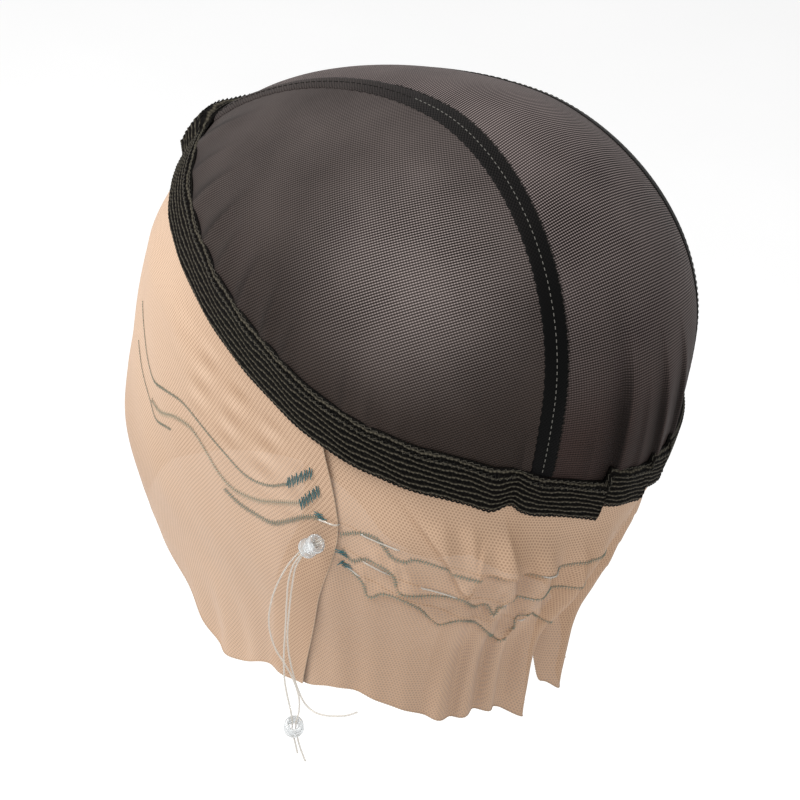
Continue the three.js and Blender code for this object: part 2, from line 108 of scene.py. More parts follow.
# %% Shader expressions
def math_method(operation, swapped=False):
    """A method that joins two values with a Math node."""
    return lambda self, other: self.math(operation, *((other, self) if swapped else (self, other)))


class Wire:
    """One output of a shader node, for use in a Python expression."""

    def __init__(self, tree, socket=None):
        self.tree = tree
        self.socket = socket

    def node(self, kind, settings=None, inputs=None, output=0):
        made = self.tree.nodes.new("ShaderNode" + kind)
        for name, value in (settings or {}).items():
            setattr(made, name, value)
        for name, value in (inputs or {}).items():
            if isinstance(value, Wire):
                self.tree.links.new(value.socket, made.inputs[name])
            else:
                made.inputs[name].default_value = value
        return Wire(self.tree, made.outputs[output] if made.outputs else None)

    def math(self, operation, *values):
        return self.node("Math", {"operation": operation}, dict(enumerate(values)))

    __add__ = __radd__ = math_method("ADD")
    __sub__ = math_method("SUBTRACT")
    __rsub__ = math_method("SUBTRACT", swapped=True)
    __mul__ = __rmul__ = math_method("MULTIPLY")
    __pow__ = math_method("POWER")

    def cosine(self):
        return self.math("COSINE", self)

    def step(self, low, high):
        """0 below low, 1 above high, smooth between."""
        return self.node("MapRange", {"interpolation_type": "SMOOTHSTEP"}, {0: self, 1: low, 2: high})

    def along(self, direction):
        """How far a point lies along a direction."""
        return self.node("VectorMath", {"operation": "DOT_PRODUCT"}, {0: self, 1: direction}, output="Value")

    def blend(self, first, second):
        """The first colour where this is 0, the second where it is 1."""
        return self.node("Mix", {"data_type": "RGBA"}, {0: self, 6: first, 7: second}, output=2)

    def noise(self, scale, detail=2.0):
        return self.node("TexNoise", None, {"Vector": self, "Scale": scale, "Detail": detail})

    def bump(self, distance, strength):
        return self.node("Bump", None, {"Height": self, "Distance": distance, "Strength": strength})

    def kept(self, name):
        """A number that the mesh keeps for each of its points."""
        return self.node("Attribute", {"attribute_name": name}, output="Fac")


def finish_of(name, recipe, **constants):
    """A material: the recipe gives what changes over the surface, the constants what doesn't."""
    material = bpy.data.materials.new(name)
    material.use_nodes = True
    material.node_tree.nodes.clear()
    start = Wire(material.node_tree)
    cloth = start.node("TexCoord", output="UV")
    shader = start.node("BsdfPrincipled", None, {**constants, **recipe(cloth)})
    start.node("OutputMaterial", None, {"Surface": shader})
    print("finish", name, "has", len(material.node_tree.nodes), "nodes")
    return material


def color(*screen):
    """Red, green and blue as they look on a screen, from 0 to 255, as the shader wants them."""
    return (*(((x / 255 + 0.055) / 1.055) ** 2.4 if x > 10 else x / 3294.6 for x in screen), 1.0)


# %% [markdown]
# The form is a rounded box of powers: two half ellipses in plan, one for the front and one for the back,
# and another power for its height. Whatever lies on it is found by halving an interval until the
# surface is met. Numpy does that for a whole grid of points at once, which keeps the script quick.

# %% The form's surface
def smooth(x, low, high):
    t = np.clip((x - low) / (high - low), 0, 1)
    return t * t * (3 - 2 * t)


def window(x, start, full, fade, end):
    """0 before the start and after the end, 1 from full to fade."""
    return smooth(x, start, full) * (1 - smooth(x, fade, end))


def spread(*values):
    """Numbers and grids, all brought to one shape."""
    return np.broadcast_arrays(*(np.asarray(x, float) for x in values))


def solve(f, low, high):
    """Where a function of numbers between low and high changes its sign."""
    low, high = spread(low, high)
    rising = f(high) > 0
    for _ in range(40):
        middle = (low + high) / 2
        same = (f(middle) > 0) == rising
        low, high = np.where(same, low, middle), np.where(same, middle, high)
    return (low + high) / 2


def xyz(x, y, z):
    return np.stack(np.broadcast_arrays(x, y, z), -1)


def half_sizes(y, z):
    return np.where(y > 0, BACK_REACH, FRONT_REACH), np.where(z > 0, CROWN_HEIGHT, UNDER_HEIGHT)


def form_value(p):
    length, height = half_sizes(p[..., 1], p[..., 2])
    plan = np.abs(p[..., 0] / HALF_WIDTH) ** PLAN_POWER + np.abs(p[..., 1] / length) ** PLAN_POWER
    return plan + np.abs(p[..., 2] / height) ** SIDE_POWER - 1


def unit(v):
    return v / np.maximum(np.linalg.norm(v, axis=-1, keepdims=True), 1e-12)


def form_normal(p):
    length, height = half_sizes(p[..., 1], p[..., 2])

    def share(value, size, power):
        return np.sign(value) * np.abs(value / size) ** (power - 1) * power / size

    return unit(xyz(
        share(p[..., 0], HALF_WIDTH, PLAN_POWER),
        share(p[..., 1], length, PLAN_POWER),
        share(p[..., 2], height, SIDE_POWER),
    ))


def form_radius(turn, z):
    length, height = half_sizes(np.sin(turn), z)
    left = np.maximum(0, 1 - np.abs(z / height) ** SIDE_POWER)
    across = np.abs(np.cos(turn) / HALF_WIDTH) ** PLAN_POWER
    along = np.abs(np.sin(turn) / length) ** PLAN_POWER
    return (left / (across + along)) ** (1 / PLAN_POWER)


def plan_point(turn, radius, z):
    return xyz(radius * np.cos(turn), radius * np.sin(turn), z)


def turn_of(angle):
    """Degrees from the wearer's front, with 90 at the left ear, as radians from +X."""
    return np.radians(np.asarray(angle, float) - 90)


def brow_ease(p):
    """Eases back what lies beyond the brow. Returns the points and how much the y axis shrinks there."""
    beyond = np.maximum(-BROW_REACH - p[..., 1], 0)
    span = beyond + BROW_EASE
    y = p[..., 1] + BROW_FLATNESS * beyond ** 2 / span
    shrink = 1 - BROW_FLATNESS * (beyond ** 2 + 2 * beyond * BROW_EASE) / span ** 2
    return xyz(p[..., 0], y, p[..., 2]), shrink


def on_form(p, lift=0.0):
    """Points eased at the brow and lifted off the form, with the directions that face out there."""
    normal = form_normal(p)
    p, shrink = brow_ease(p)
    normal = unit(xyz(normal[..., 0], normal[..., 1] / shrink, normal[..., 2]))
    return p + normal * np.asarray(lift)[..., None], normal


print("form: reach at the left ear", float(form_radius(0.0, 0.0)), "mm")

# %% [markdown]
# The band's edges lie on two slanted planes, high over the brow and low at the nape. A point on the band
# is where such a plane meets the form at an angle. The same planes give the crown its edge. The crown is
# worn a little askew: over the top its right seam lies further out than its left one.

# %% The band's planes and the crown's lines
BAND_TILT = 20.4
BAND_LOWER = -19.0
BAND_DEPTH = 16.0
BAND_RISE = 8.0
RIB_HEIGHT = 0.6
CROWN_TUCK = 7.0
SEAM_AT_FRONT = 17.0
SEAM_AT_TOP = 18.4
SEAM_AT_BACK = 42.5
SEAM_SLIP = 16.0
slope = math.tan(math.radians(BAND_TILT))
band_upper = BAND_LOWER + BAND_DEPTH
crown_edge = BAND_LOWER + CROWN_TUCK


def plane_offset(p):
    return p[..., 2] + slope * p[..., 1] - BAND_RISE * (np.maximum(p[..., 1], 0) / BACK_REACH) ** 2


def band_point(turn, offset):
    turn, offset = spread(turn, offset)

    def point(z):
        return plan_point(turn, form_radius(turn, z), z)

    low = np.full(turn.shape, -0.9 * UNDER_HEIGHT)
    return point(solve(lambda z: plane_offset(point(z)) - offset, low, 0.9 * CROWN_HEIGHT))


def seam_at(y, side):
    front = y * (y - BACK_REACH) / (FRONT_REACH * (FRONT_REACH + BACK_REACH))
    top = (y + FRONT_REACH) * (BACK_REACH - y) / (FRONT_REACH * BACK_REACH)
    back = y * (y + FRONT_REACH) / (BACK_REACH * (FRONT_REACH + BACK_REACH))
    at_top = np.where(side < 0, SEAM_AT_TOP + SEAM_SLIP, SEAM_AT_TOP)
    return SEAM_AT_FRONT * front + at_top * top + SEAM_AT_BACK * back


def crown_point(arc, share, beside):
    arc, share, beside = spread(arc, share, beside)

    def at(reach):
        y = reach * np.sin(arc)
        return xyz(share * seam_at(y, share) + beside, y, reach * np.cos(arc))

    return at(solve(lambda reach: form_value(at(reach)), np.zeros(arc.shape), 1.5 * FRONT_REACH))


def crown_ends(share, beside, offset):
    share, beside = spread(share, beside)

    def above(arc):
        return plane_offset(crown_point(arc, share, beside)) - offset

    well_below = math.radians(135)
    zero = np.zeros(share.shape)
    return solve(above, zero, -well_below), solve(above, zero, well_below)


def angle_of(p):
    """Degrees from the wearer's front, from -180 to 180."""
    return (np.degrees(np.arctan2(p[..., 1], p[..., 0])) + 270) % 360 - 180


print("band round:", round(float(np.linalg.norm(np.diff(
    band_point(turn_of(np.linspace(-180, 180, 400)), BAND_LOWER), axis=0), axis=1).sum())), "mm")

# %% [markdown]
# Every cloth is a grid of points, turned into a mesh with one face for each square. A net drawn on it needs
# a flat map in metres that keeps the net's real pitch. Strips are laid out along their own rows and columns;
# a domed panel is laid out from its middle, as a map of the earth is, so that its threads stay straight.

# %% Grids into meshes
def flat_map(grid, level=0):
    """The map of a strip: its rows keep their mean spacing, its columns their length from a level row."""
    across = np.linalg.norm(np.diff(grid, axis=0), axis=-1).mean(1)
    down = np.linalg.norm(np.diff(grid, axis=1), axis=-1)
    u = np.r_[0, np.cumsum(across)][:, None] + np.zeros(grid.shape[1])
    v = np.concatenate([np.zeros((len(grid), 1)), np.cumsum(down, 1)], 1)
    return np.stack([u + 0.5, 1 - v + v[:, level:level + 1]], -1)


def domed_map(grid, toward):
    """The map of a domed panel: true distances and directions from the point that faces a direction."""
    out = Vector(toward).normalized()
    east = Vector((0, 0, 1)).cross(out).normalized()
    north = np.array(out.cross(east))
    ray = unit(grid - metres((0, 0, 0)))
    facing = ray @ np.array(out)
    middle = grid.reshape(-1, 3)[facing.argmax()]
    chord = grid - middle
    half_turn = np.arccos(np.clip(facing, -1, 1)) / 2 + 1e-6
    arc = np.linalg.norm(chord, axis=-1) * half_turn / np.sin(half_turn)
    flat = np.stack([chord @ np.array(east), chord @ north], -1)
    return unit(flat) * arc[..., None] + 0.5


def piece_from(name, points, faces, finish, flat):
    mesh = bpy.data.meshes.new(name)
    mesh.from_pydata(points.reshape(-1, 3).tolist(), [], faces)
    mesh.update()
    layer = mesh.uv_layers.new(name="flat")
    corners = np.empty(len(mesh.loops), np.int32)
    mesh.loops.foreach_get("vertex_index", corners)
    layer.data.foreach_set("uv", flat.reshape(-1, 2)[corners].ravel())
    mesh.polygons.foreach_set("use_smooth", [True] * len(mesh.polygons))
    mesh.materials.append(finish)
    return placed(name, mesh)


def grid_faces(rows, columns, closed=False):
    i, j = np.meshgrid(np.arange(rows if closed else rows - 1), np.arange(columns - 1), indexing="ij")
    k = (i + 1) % rows
    corners = np.stack([i * columns + j, k * columns + j, k * columns + j + 1, i * columns + j + 1], -1)
    return corners.reshape(-1, 4).tolist()


def cloth(name, points, finish, closed=False, flat=flat_map):
    """A sheet from a grid of points in millimetres of the form's frame."""
    grid = metres(points)
    faces = grid_faces(*grid.shape[:2], closed)
    middle = grid.reshape(-1, 3)[faces[len(faces) // 2]]
    facing = np.cross(middle[1] - middle[0], middle[3] - middle[0])
    if np.dot(facing, middle[0] - metres((0, 0, 0))) < 0:
        faces = [face[::-1] for face in faces]
    return piece_from(name, grid, faces, finish, flat(grid))


def mark(piece, name, values):
    """Keeps one number for each point of a piece, for its finish to read."""
    layer = piece.data.attributes.new(name, "FLOAT", "POINT")
    layer.data.foreach_set("value", np.asarray(values, np.float32).ravel())


def ready(piece, slot, *nodes):
    """Lets a piece ride with the part and stand for its solids. Its slot is not used."""
    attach(piece, "root")
    if nodes:
        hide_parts(*nodes)
    is_mesh = piece.type == "MESH"
    parts = piece.data.polygons if is_mesh else piece.data.splines
    print(piece.name, "has", len(parts), "faces" if is_mesh else "threads")
    return piece


def thread(name, lines, radius, finish):
    """A curve object with one tube for each line of points, in millimetres of the form's frame."""
    tubes = bpy.data.curves.new(name, "CURVE")
    tubes.dimensions = "3D"
    tubes.bevel_depth = radius * MM
    tubes.bevel_resolution = 1
    tubes.use_fill_caps = True
    for line in lines:
        spline = tubes.splines.new("POLY")
        spline.points.add(len(line) - 1)
        spline.points.foreach_set("co", np.c_[metres(line), np.ones(len(line))].ravel())
    tubes.materials.append(finish)
    return placed(name, tubes)


def stepped(points, pitch):
    """The same line with points one pitch apart."""
    points = np.asarray(points, float)
    way = np.r_[0, np.cumsum(np.linalg.norm(np.diff(points, axis=0), axis=1))]
    at = np.linspace(0, way[-1], max(2, int(round(way[-1] / pitch)) + 1))
    return np.stack([np.interp(at, way, points[:, k]) for k in range(3)], -1)


def sideways(points, outward):
    return unit(np.cross(outward, np.gradient(points, axis=0)))


def to_and_fro(line):
    """1 and -1 by turns, for the points of a line."""
    return np.where(np.arange(len(line)) % 2, 1.0, -1.0)[:, None]


def stitching(points, facing, pitch):
    """A line with points one pitch apart, and the directions across it and along it."""
    line = stepped(points, pitch)
    out = unit(stepped(points + facing, pitch)[:len(line)] - line)
    return line, sideways(line, out), unit(np.gradient(line, axis=0))


def strokes(points, facing, pitch, reach, slant, uneven=0.2):
    """Short separate stitches across a line, one for each pitch, and unevenly long."""
    line, side, along = stitching(points, facing, pitch)
    reach = reach * (1 + uneven * np.sin(np.arange(len(line)) * 2.3 + len(line)))[:, None]
    return [np.array([p - q, p + q]) for p, q in zip(line, side * reach + along * slant)]


def zigzag(points, facing, pitch, reach, slant):
    """Stitches that swing from side to side of a line, two for each pitch."""
    line, side, along = stitching(points, facing, pitch / 2)
    return line + side * to_and_fro(line) * reach + along * to_and_fro(line) * slant


def dashes(points, stitch, gap):
    """Short lines along a line, with a gap after each."""
    step = 0.25
    line = stepped(points, step)
    whole, part = int(round((stitch + gap) / step)), int(round(stitch / step))
    return [line[i:i + part + 1] for i in range(0, len(line) - part, whole)]


print("helpers ready")

# %% [markdown]
# The cords come first among the pieces. Each free cord is a curve with a round bevel of half its diameter,
# on the same route as its solid: out of the upper stopper, down over the lace, and through the lower one.
# Clear elastic is drawn as a shiny, slightly milky plastic: the light goes partly through it. The stoppers
# are clearer than the cords.

# %% Clear finishes
def clear_finish(name, base, through, alpha, shine):
    def recipe(cloth):
        return {"Roughness": cloth.noise(300.0) * 0.12 + 0.06}
    return finish_of(name, recipe, **{
        "Base Color": color(*base), "Transmission Weight": through, "IOR": 1.45, "Alpha": alpha,
        "Specular IOR Level": shine})


clear_elastic = clear_finish("clear_elastic", (212, 206, 196), 0.3, 0.7, 0.9)
clear_plastic = clear_finish("clear_plastic", (234, 237, 238), 0.65, 0.88, 1.0)

# %% [markdown]
# The stoppers rest on the lace, so its shape is worked out before them. It hangs from the band as a skirt,
# whose width and reach at each height come from a short table, and so does its wavy hem. The nape cords
# gather it into broad pleats, each an angle, a breadth in degrees and a depth.

# %% Lace skirt, its sizes
LACE_DROP = 125.0
LACE_BLEND = 22.0
LACE_TUCK = 5.0
LACE_UNDER_BAND = 1.5
GATHER_FADE = 26.0
SKIRT = {
    "drop": [-0.24, 0.0, 0.16, 0.32, 0.48, 0.64, 0.8, 1.0, 1.12],
    "width": [0.95, 1.0, 0.985, 0.96, 0.92, 0.87, 0.79, 0.725, 0.72],
    "front": [0.96, 1.02, 1.055, 1.08, 1.105, 1.115, 1.055, 0.905, 0.86],
    "back": [0.94, 0.99, 0.985, 0.95, 0.865, 0.745, 0.61, 0.58, 0.58],
}
HEM = {
    "angle": [0, 24, 34, 42, 50, 59, 71, 86, 106, 121, 140, 158, 180],
    "drop": [0.86, 0.88, 0.95, 1.03, 1.06, 1.05, 1.0, 1.0, 0.96, 0.985, 1.02, 1.01, 1.08],
}
HEM_STEPS = [(189, 6, 17.0), (203, 9, -7.0)]
GATHERS = [
    (139, 6, 2.4), (148, 6, 3.2), (158, 6, 3.6), (175, 8, 4.5),
    (189, 7, -3.5), (202, 8, 5.0), (213, 6, 3.4), (223, 6, 2.4),
]


def curve(keys, values, at):
    """A smooth curve through a short table, the same as in the solids."""
    keys, values = np.asarray(keys, float), np.asarray(values, float)
    last = len(keys) - 1
    before, after = np.maximum(np.arange(last + 1) - 1, 0), np.minimum(np.arange(last + 1) + 1, last)
    slopes = (values[after] - values[before]) / (keys[after] - keys[before])
    row = np.clip(np.searchsorted(keys, at, "left") - 1, 0, last - 1)
    run = keys[row + 1] - keys[row]
    t = np.clip((at - keys[row]) / run, 0, 1)
    bend = run * t * (1 - t) * (slopes[row] * (1 - t) - slopes[row + 1] * t)
    return values[row] + (values[row + 1] - values[row]) * t * t * (3 - 2 * t) + bend


def folds(table, angle):
    """How far folds stand out: each one is an angle, a breadth in degrees and a depth."""
    total = np.zeros(np.shape(angle))
    for middle, breadth, depth in table:
        x = np.clip((np.asarray(angle) - middle) / breadth, -1, 1)
        total = total + depth * np.cos(x * math.pi / 2) ** 2
    return total


def from_front(angle):
    return np.abs((np.asarray(angle) + 180) % 360 - 180)


def skirt_point(angle, height):
    angle, height = spread(angle, height)
    drop = -height / LACE_DROP
    width, front, back = (curve(SKIRT["drop"], SKIRT[name], drop) for name in ("width", "front", "back"))
    turn = turn_of(angle)
    length = np.where(np.sin(turn) > 0, BACK_REACH * back, FRONT_REACH * front)
    radius = 1 / np.hypot(np.cos(turn) / (HALF_WIDTH * width), np.sin(turn) / length)
    form = plan_point(turn, form_radius(turn, height), height)
    free = smooth(BAND_LOWER - plane_offset(form), 0, LACE_BLEND)[..., None]
    return brow_ease(form)[0] * (1 - free) + plan_point(turn, radius, height) * free


def lace_top(angle):
    return band_point(turn_of(angle), BAND_LOWER + LACE_TUCK)[..., 2]


def lace_foot(angle):
    return band_point(turn_of(angle), BAND_LOWER)[..., 2] - LACE_UNDER_BAND


def lace_hem(angle):
    hem = LACE_DROP * curve(HEM["angle"], HEM["drop"], from_front(angle))
    return folds(HEM_STEPS, np.asarray(angle) % 360) - hem


def gather(angle, height):
    return smooth(lace_foot(angle) - height, 0, GATHER_FADE) * folds(GATHERS, np.asarray(angle) % 360)


def outward(points):
    return unit(points * (1, 1, 0))


def lifted(points, lift):
    return points + outward(points) * np.asarray(lift)[..., None]


print("lace hem at the nape:", float(lace_hem(180.0)), "mm")

# %% [markdown]
# A stopper is a small spool with a bore, which pinches the elastic. It is turned from one outline with
# three rings. Each hanging cord's route was read from the photograph as points from the upper stopper, and
# is rounded the same way as the solid's.

# %% Stoppers and hanging cords
STOPPER_LENGTH = 6.4
STOPPER_DIAMETER = 6.6
STOPPER_BORE = 3.0
CORD_DIAMETER = 0.6
UPPER_AXIS = (0, 0.71, 0.704)
LOWER_AXIS = (0.566, 0.424, 0.707)
CORD_ROUTES = {
    "hanging_cord_front": [
        (0, 3.5, 4.3), (0, 1.7, 2.5), (0, -0.5, 0.4), (0, -2.9, -2), (0, -8.1, -9.9),
        (-0.1, -11, -16.2), (-0.5, -13.5, -23.4), (-0.9, -14.8, -30.1), (-1.1, -14.8, -35.5),
        (-1.4, -13.5, -40.2), (-1.6, -11, -44.4), (-1.8, -7.8, -47.2), (-1.9, -4.6, -50),
        (-1.9, -1.6, -53.7), (-1.9, 0.3, -57.7), (-1.8, 0.8, -61.8), (-2.5, -0.5, -67.6),
        (-4.1, -1.6, -69.7), (-5.4, -2.6, -71.4), (-6.7, -3.5, -73.3), (-7, -1.2, -79.1), (-6.6, 2, -82.9),
    ],
    "hanging_cord_back": [
        (0.5, 4.2, 3.7), (0.5, 2.3, 1.9), (0.5, 0.2, -0.2), (0.5, -2.2, -2.6), (0.8, -5.9, -9.4),
        (1, -6.9, -15.7), (1.1, -6.7, -22.6), (1, -6.3, -29.9), (0.8, -6.1, -37.3), (0.5, -5.8, -44.9),
        (0, -5, -52.1), (-0.4, -3.4, -57.9), (-0.8, -1.9, -62.3), (-1.9, -1.4, -67.6),
        (-3.4, -2.5, -69.7), (-4.7, -3.5, -71.4), (-6, -4.5, -73.3), (-6.6, -3, -78.3), (-6.6, -1.6, -81.5),
    ],
    "hanging_cord_loose": [
        (-0.5, 4.2, 3.7), (-0.5, 2.3, 1.9), (-0.5, 0.2, -0.2), (-0.5, -2.2, -2.6), (-0.6, -5.8, -10.2),
        (-1.3, -7, -16.1), (-2.2, -7.9, -24.4), (-2.8, -8.3, -32.3), (-3.2, -8.1, -39.8), (-3.5, -6.7, -46),
        (-3.7, -4.4, -51.8), (-3.9, -1.9, -56.4), (-4, 1.1, -59.7), (-4, 5.2, -60.9),
        (-4, 9.8, -60), (-4, 14.6, -57.9), (-4, 18.9, -55.4), (-4, 22.4, -52.5),
    ],
}
seat = skirt_point(98.0, -LACE_DROP * 0.478)
upper_stopper = seat + outward(seat) * (LACE_WALL / 2 + CLEARANCE + STOPPER_DIAMETER / 2)
lower_stopper = upper_stopper + (-4.4, -2.6, -70.6)


def catmull(points, steps):
    """A line through chosen points, rounded as three.js rounds it, with the knots spread by distance."""
    points = np.asarray(points, float)
    points = np.vstack([2 * points[0] - points[1], points, 2 * points[-1] - points[-2]])
    line = []
    for a, b, c, d in zip(points, points[1:], points[2:], points[3:]):
        gaps = [math.sqrt(np.linalg.norm(q - p)) for p, q in ((a, b), (b, c), (c, d))]
        start = (b - a) / gaps[0] - (c - a) / (gaps[0] + gaps[1]) + (c - b) / gaps[1]
        end = (c - b) / gaps[1] - (d - b) / (gaps[1] + gaps[2]) + (d - c) / gaps[2]
        start, end = start * gaps[1], end * gaps[1]
        for t in np.arange(steps) / steps:
            line.append(b + start * t + (3 * (c - b) - 2 * start - end) * t ** 2
                        + (2 * (b - c) + start + end) * t ** 3)
    return np.array(line + [points[-2]])


def lathe(name, outline, place, axis, finish, sides=48):
    """A piece turned from a closed outline of radii and distances along its axis."""
    turns = np.arange(sides) / sides * 2 * math.pi
    radius, along = np.array(outline + outline[:1]).T
    ring = xyz(np.cos(turns)[:, None] * radius, np.sin(turns)[:, None] * radius, along[None, :])
    rotation = np.array(Vector((0, 0, 1)).rotation_difference(Vector(axis)).to_matrix())
    return cloth(name, ring @ rotation.T + place, finish, closed=True)


half = STOPPER_LENGTH / 2
rim = STOPPER_DIAMETER / 2
bore = STOPPER_BORE / 2
SPOOL_RINGS = [(-0.66, 0.3, 1.0), (-0.08, 0.12, 0.86), (0.6, 0.36, 0.96)]
RING_STEPS = 8
WAIST = 0.76
FACE_RIM = 0.7
COUNTERSINK = 0.82
spool = [(bore, -COUNTERSINK * half), (FACE_RIM * rim, -half)]
for middle, width, reach in SPOOL_RINGS:
    for step in range(RING_STEPS + 1):
        bend = math.pi * step / RING_STEPS
        radius = WAIST + (reach - WAIST) * math.sin(bend) ** 0.45
        spool.append((radius * rim, (middle - width * math.cos(bend)) * half))
spool += [(FACE_RIM * rim, half), (bore, COUNTERSINK * half)]
stoppers = [
    lathe("stopper_at_ear", spool, upper_stopper, UPPER_AXIS, clear_plastic),
    lathe("stopper_on_cords", spool, lower_stopper, LOWER_AXIS, clear_plastic),
]
ready(stoppers[0], "clear_plastic", "stopper_upper")
ready(stoppers[1], "clear_plastic", "stopper_lower")

for name, route in CORD_ROUTES.items():
    line = catmull(np.array(route) + upper_stopper, 6)
    cord = thread(name.replace("hanging_cord", "cord_end"), [line], CORD_DIAMETER / 2, clear_elastic)
    cord.data.bevel_resolution = 3
    ready(cord, "clear_elastic", name)
    metres(line[0])

# %% [markdown]
# The crown is a stretch net of fine dark yarn. Seen close it is a lattice of holes under a millimetre
# apart, that lines up into slanting ribs. Two cosines on the flat map make the lattice. A painted highlight
# makes the yarn pale and sharp in the middle of each side panel and over the top of the centre panel.
# Painted light makes the net lighter towards the top and darker and smoother towards the band, and
# painted shade makes it darkest in front of the folds.

# %% Crown net
TAU = 2 * math.pi
NET_PITCH = 0.00086
DARK_CLOTH = {"Sheen Weight": 0.03, "Sheen Roughness": 0.5, "Specular IOR Level": 0.07}


def net_look(lean, low, high, highlight_color, highlight_mask, light_gradient):
    """A net whose ribs lean in radians. Painted light grades its yarn from the low colour to the high one,
    and a painted highlight turns it into pale, sharp yarn of one colour.
    """
    def recipe(cloth):
        ribs = (cloth.along((math.cos(lean), math.sin(lean), 0)) * (TAU / NET_PITCH)).cosine()
        beads = (cloth.along((-math.sin(lean), math.cos(lean), 0)) * (TAU / NET_PITCH)).cosine()
        yarn = ribs * 0.36 + beads * 0.14 + 0.5
        patches = cloth.noise(28.0, 3.0)
        # Painted light: this colour grows lighter towards the top and darker towards the band.
        light_graded_color = light_gradient(cloth).blend(color(*low), color(*high))
        soft = (yarn ** 1.5 * 0.8 + patches * 0.5 - 0.15).blend(color(17, 12, 11), light_graded_color)
        # A painted highlight: pale, sharp yarn wherever the highlight mask is high.
        sharp = (yarn ** 3 + patches * 0.3 - 0.12).blend(color(14, 9, 8), color(*highlight_color))
        return {
            # The fold mark blends in near-black painted shade in front of the deep folds.
            "Base Color": cloth.kept("fold").blend(highlight_mask(cloth).blend(soft, sharp), color(7, 6, 5)),
            "Alpha": yarn.step(0.02, 0.3) * 0.06 + 0.94,
            "Roughness": patches * 0.2 + 0.62,
            "Normal": yarn.bump(0.0001, 0.5),
        }
    return recipe


def painted_highlight_spot(cloth):
    # A painted highlight, brightest round one spot in the middle of a side panel.
    middle = (0.519, 0.511, 0)
    away = cloth.node("VectorMath", {"operation": "DISTANCE"}, {0: cloth, 1: middle}, output="Value")
    return 1 - away.step(0.006, 0.054)


def painted_light_over_top(cloth):
    # Painted light: lit over the top of the centre panel, darker down the back towards the band. It also sets
    # where the painted highlight falls there.
    return 1 - cloth.along((1, 0, 0)).step(0.66, 0.745)


def painted_light_northward(cloth):
    # Painted light: lighter towards the top of a side panel, darker towards the band.
    return cloth.along((0, 1, 0)).step(0.45, 0.56)


# Side panels: painted light lighter towards the top and a painted highlight in the middle. Centre panel:
# painted light and a painted highlight over the top.
side_net = finish_of("side_net", net_look(
    math.radians(-55), (68, 58, 53), (100, 91, 88), (166, 153, 149), painted_highlight_spot, painted_light_northward), **DARK_CLOTH)
centre_net = finish_of("centre_net", net_look(
    0.0, (70, 55, 51), (124, 114, 111), (158, 144, 141), painted_light_over_top, painted_light_over_top), **DARK_CLOTH)

# %% [markdown]
# The crown's three panels follow the form between the two seams and the band. They are smooth, apart from
# soft pleats that rise from the band at the back and short puckers where the band draws the net in. A table
# has a row for each: the angle and the height over the band of its low end and of its high end, its width
# and its depth in millimetres, and how much steeper the side towards the front is. Shade is painted into
# the net just in front of the deep ones, so each point also keeps how dark that painted shade is.

# %% Crown panels
DEGREE = math.radians(1)
CROWN_RADIUS = 70
CROWN_STEPS = 181
CENTRE_COLUMNS = 121
SIDE_ROWS = 81
CROWN_PLEATS = [
    (170.6, -6, 170, 60, 7.0, 2.2, 6.0),
    (184.5, -6, 181, 50, 5.0, 1.7, 5.0),
    (194.5, -6, 190, 50, 4.0, 1.4, 5.0),
    (177.5, -6, 176, 40, 3.4, 0.7, 2.0),
    (163, -6, 163, 26, 4.0, 0.6, 1.0),
    (146, -6, 146, 20, 3.5, 0.8, 1.5),
    (109.5, -6, 110, 22, 2.6, 0.7, 1.0),
    (102.5, -6, 103, 22, 2.6, 0.8, 1.0),
    (84, -6, 88, 20, 2.4, 0.7, 1.0),
    (77.5, -6, 80, 26, 2.6, 0.9, 1.0),
    (67, -6, 70, 24, 3.0, 1.0, 1.0),
    (56, -6, 60, 24, 2.6, 0.7, 1.0),
    (47.5, -6, 53, 28, 3.0, 1.1, 1.0),
    (36, -6, 42, 26, 3.4, 1.1, 1.0),
    (27, -6, 32, 24, 3.0, 0.8, 1.0),
    (18, -6, 22, 30, 3.4, 1.2, 1.0),
    (7, -6, 9, 26, 3.4, 1.1, 1.0),
]


def beside_fold(x, y, row, scale):
    """Where points lie beside one fold: millimetres behind its line, and how strong the fold is there."""
    low_angle, low, high_angle, high = row[:4]
    start = np.array((low_angle * scale, low), float)
    run = np.array((high_angle * scale, high), float) - start
    length = np.hypot(*run)
    run = run / length
    along = ((x - start[0]) * run[0] + (y - start[1]) * run[1]) / length
    beside = (x - start[0]) * run[1] - (y - start[1]) * run[0]
    return beside, window(along, -0.25, 0.08, 0.35, 1.0)


def pleats(table, x, y, scale):
    """How far pleats stand out at points of a developed surface, x and y in millimetres."""
    total = np.zeros(np.shape(x))
    for row in table:
        width, depth, sharp = row[4:]
        beside, strength = beside_fold(x, y, row, scale)
        reach = np.where(beside < 0, width / sharp, width)
        total = total + depth * strength * np.exp(-(beside / reach) ** 2)
    return total


def mirror(rows, whole):
    """The same pleats on the other side, where an angle becomes what is left of the whole."""
    return [(whole - a, b, whole - c, d, *rest) for a, b, c, d, *rest in rows]


def over_band(p):
    """Millimetres round the crown and over the band."""
    return angle_of(p) % 360 * DEGREE * CROWN_RADIUS, plane_offset(p) - band_upper


def fold_shade(p):
    """How dark the painted shade is just in front of each fold, from 0 to 1."""
    x, over = over_band(p)
    total = np.zeros(np.shape(x))
    for row in CROWN_PLEATS:
        beside, strength = beside_fold(x, over, row, DEGREE * CROWN_RADIUS)
        breadth = row[4] * 0.9
        dark = np.exp(-(beside / breadth) ** 2) * smooth(-beside, -0.3, 0.5)
        total = np.maximum(total, dark * strength * min(0.5 * row[5], 0.8))
    return total


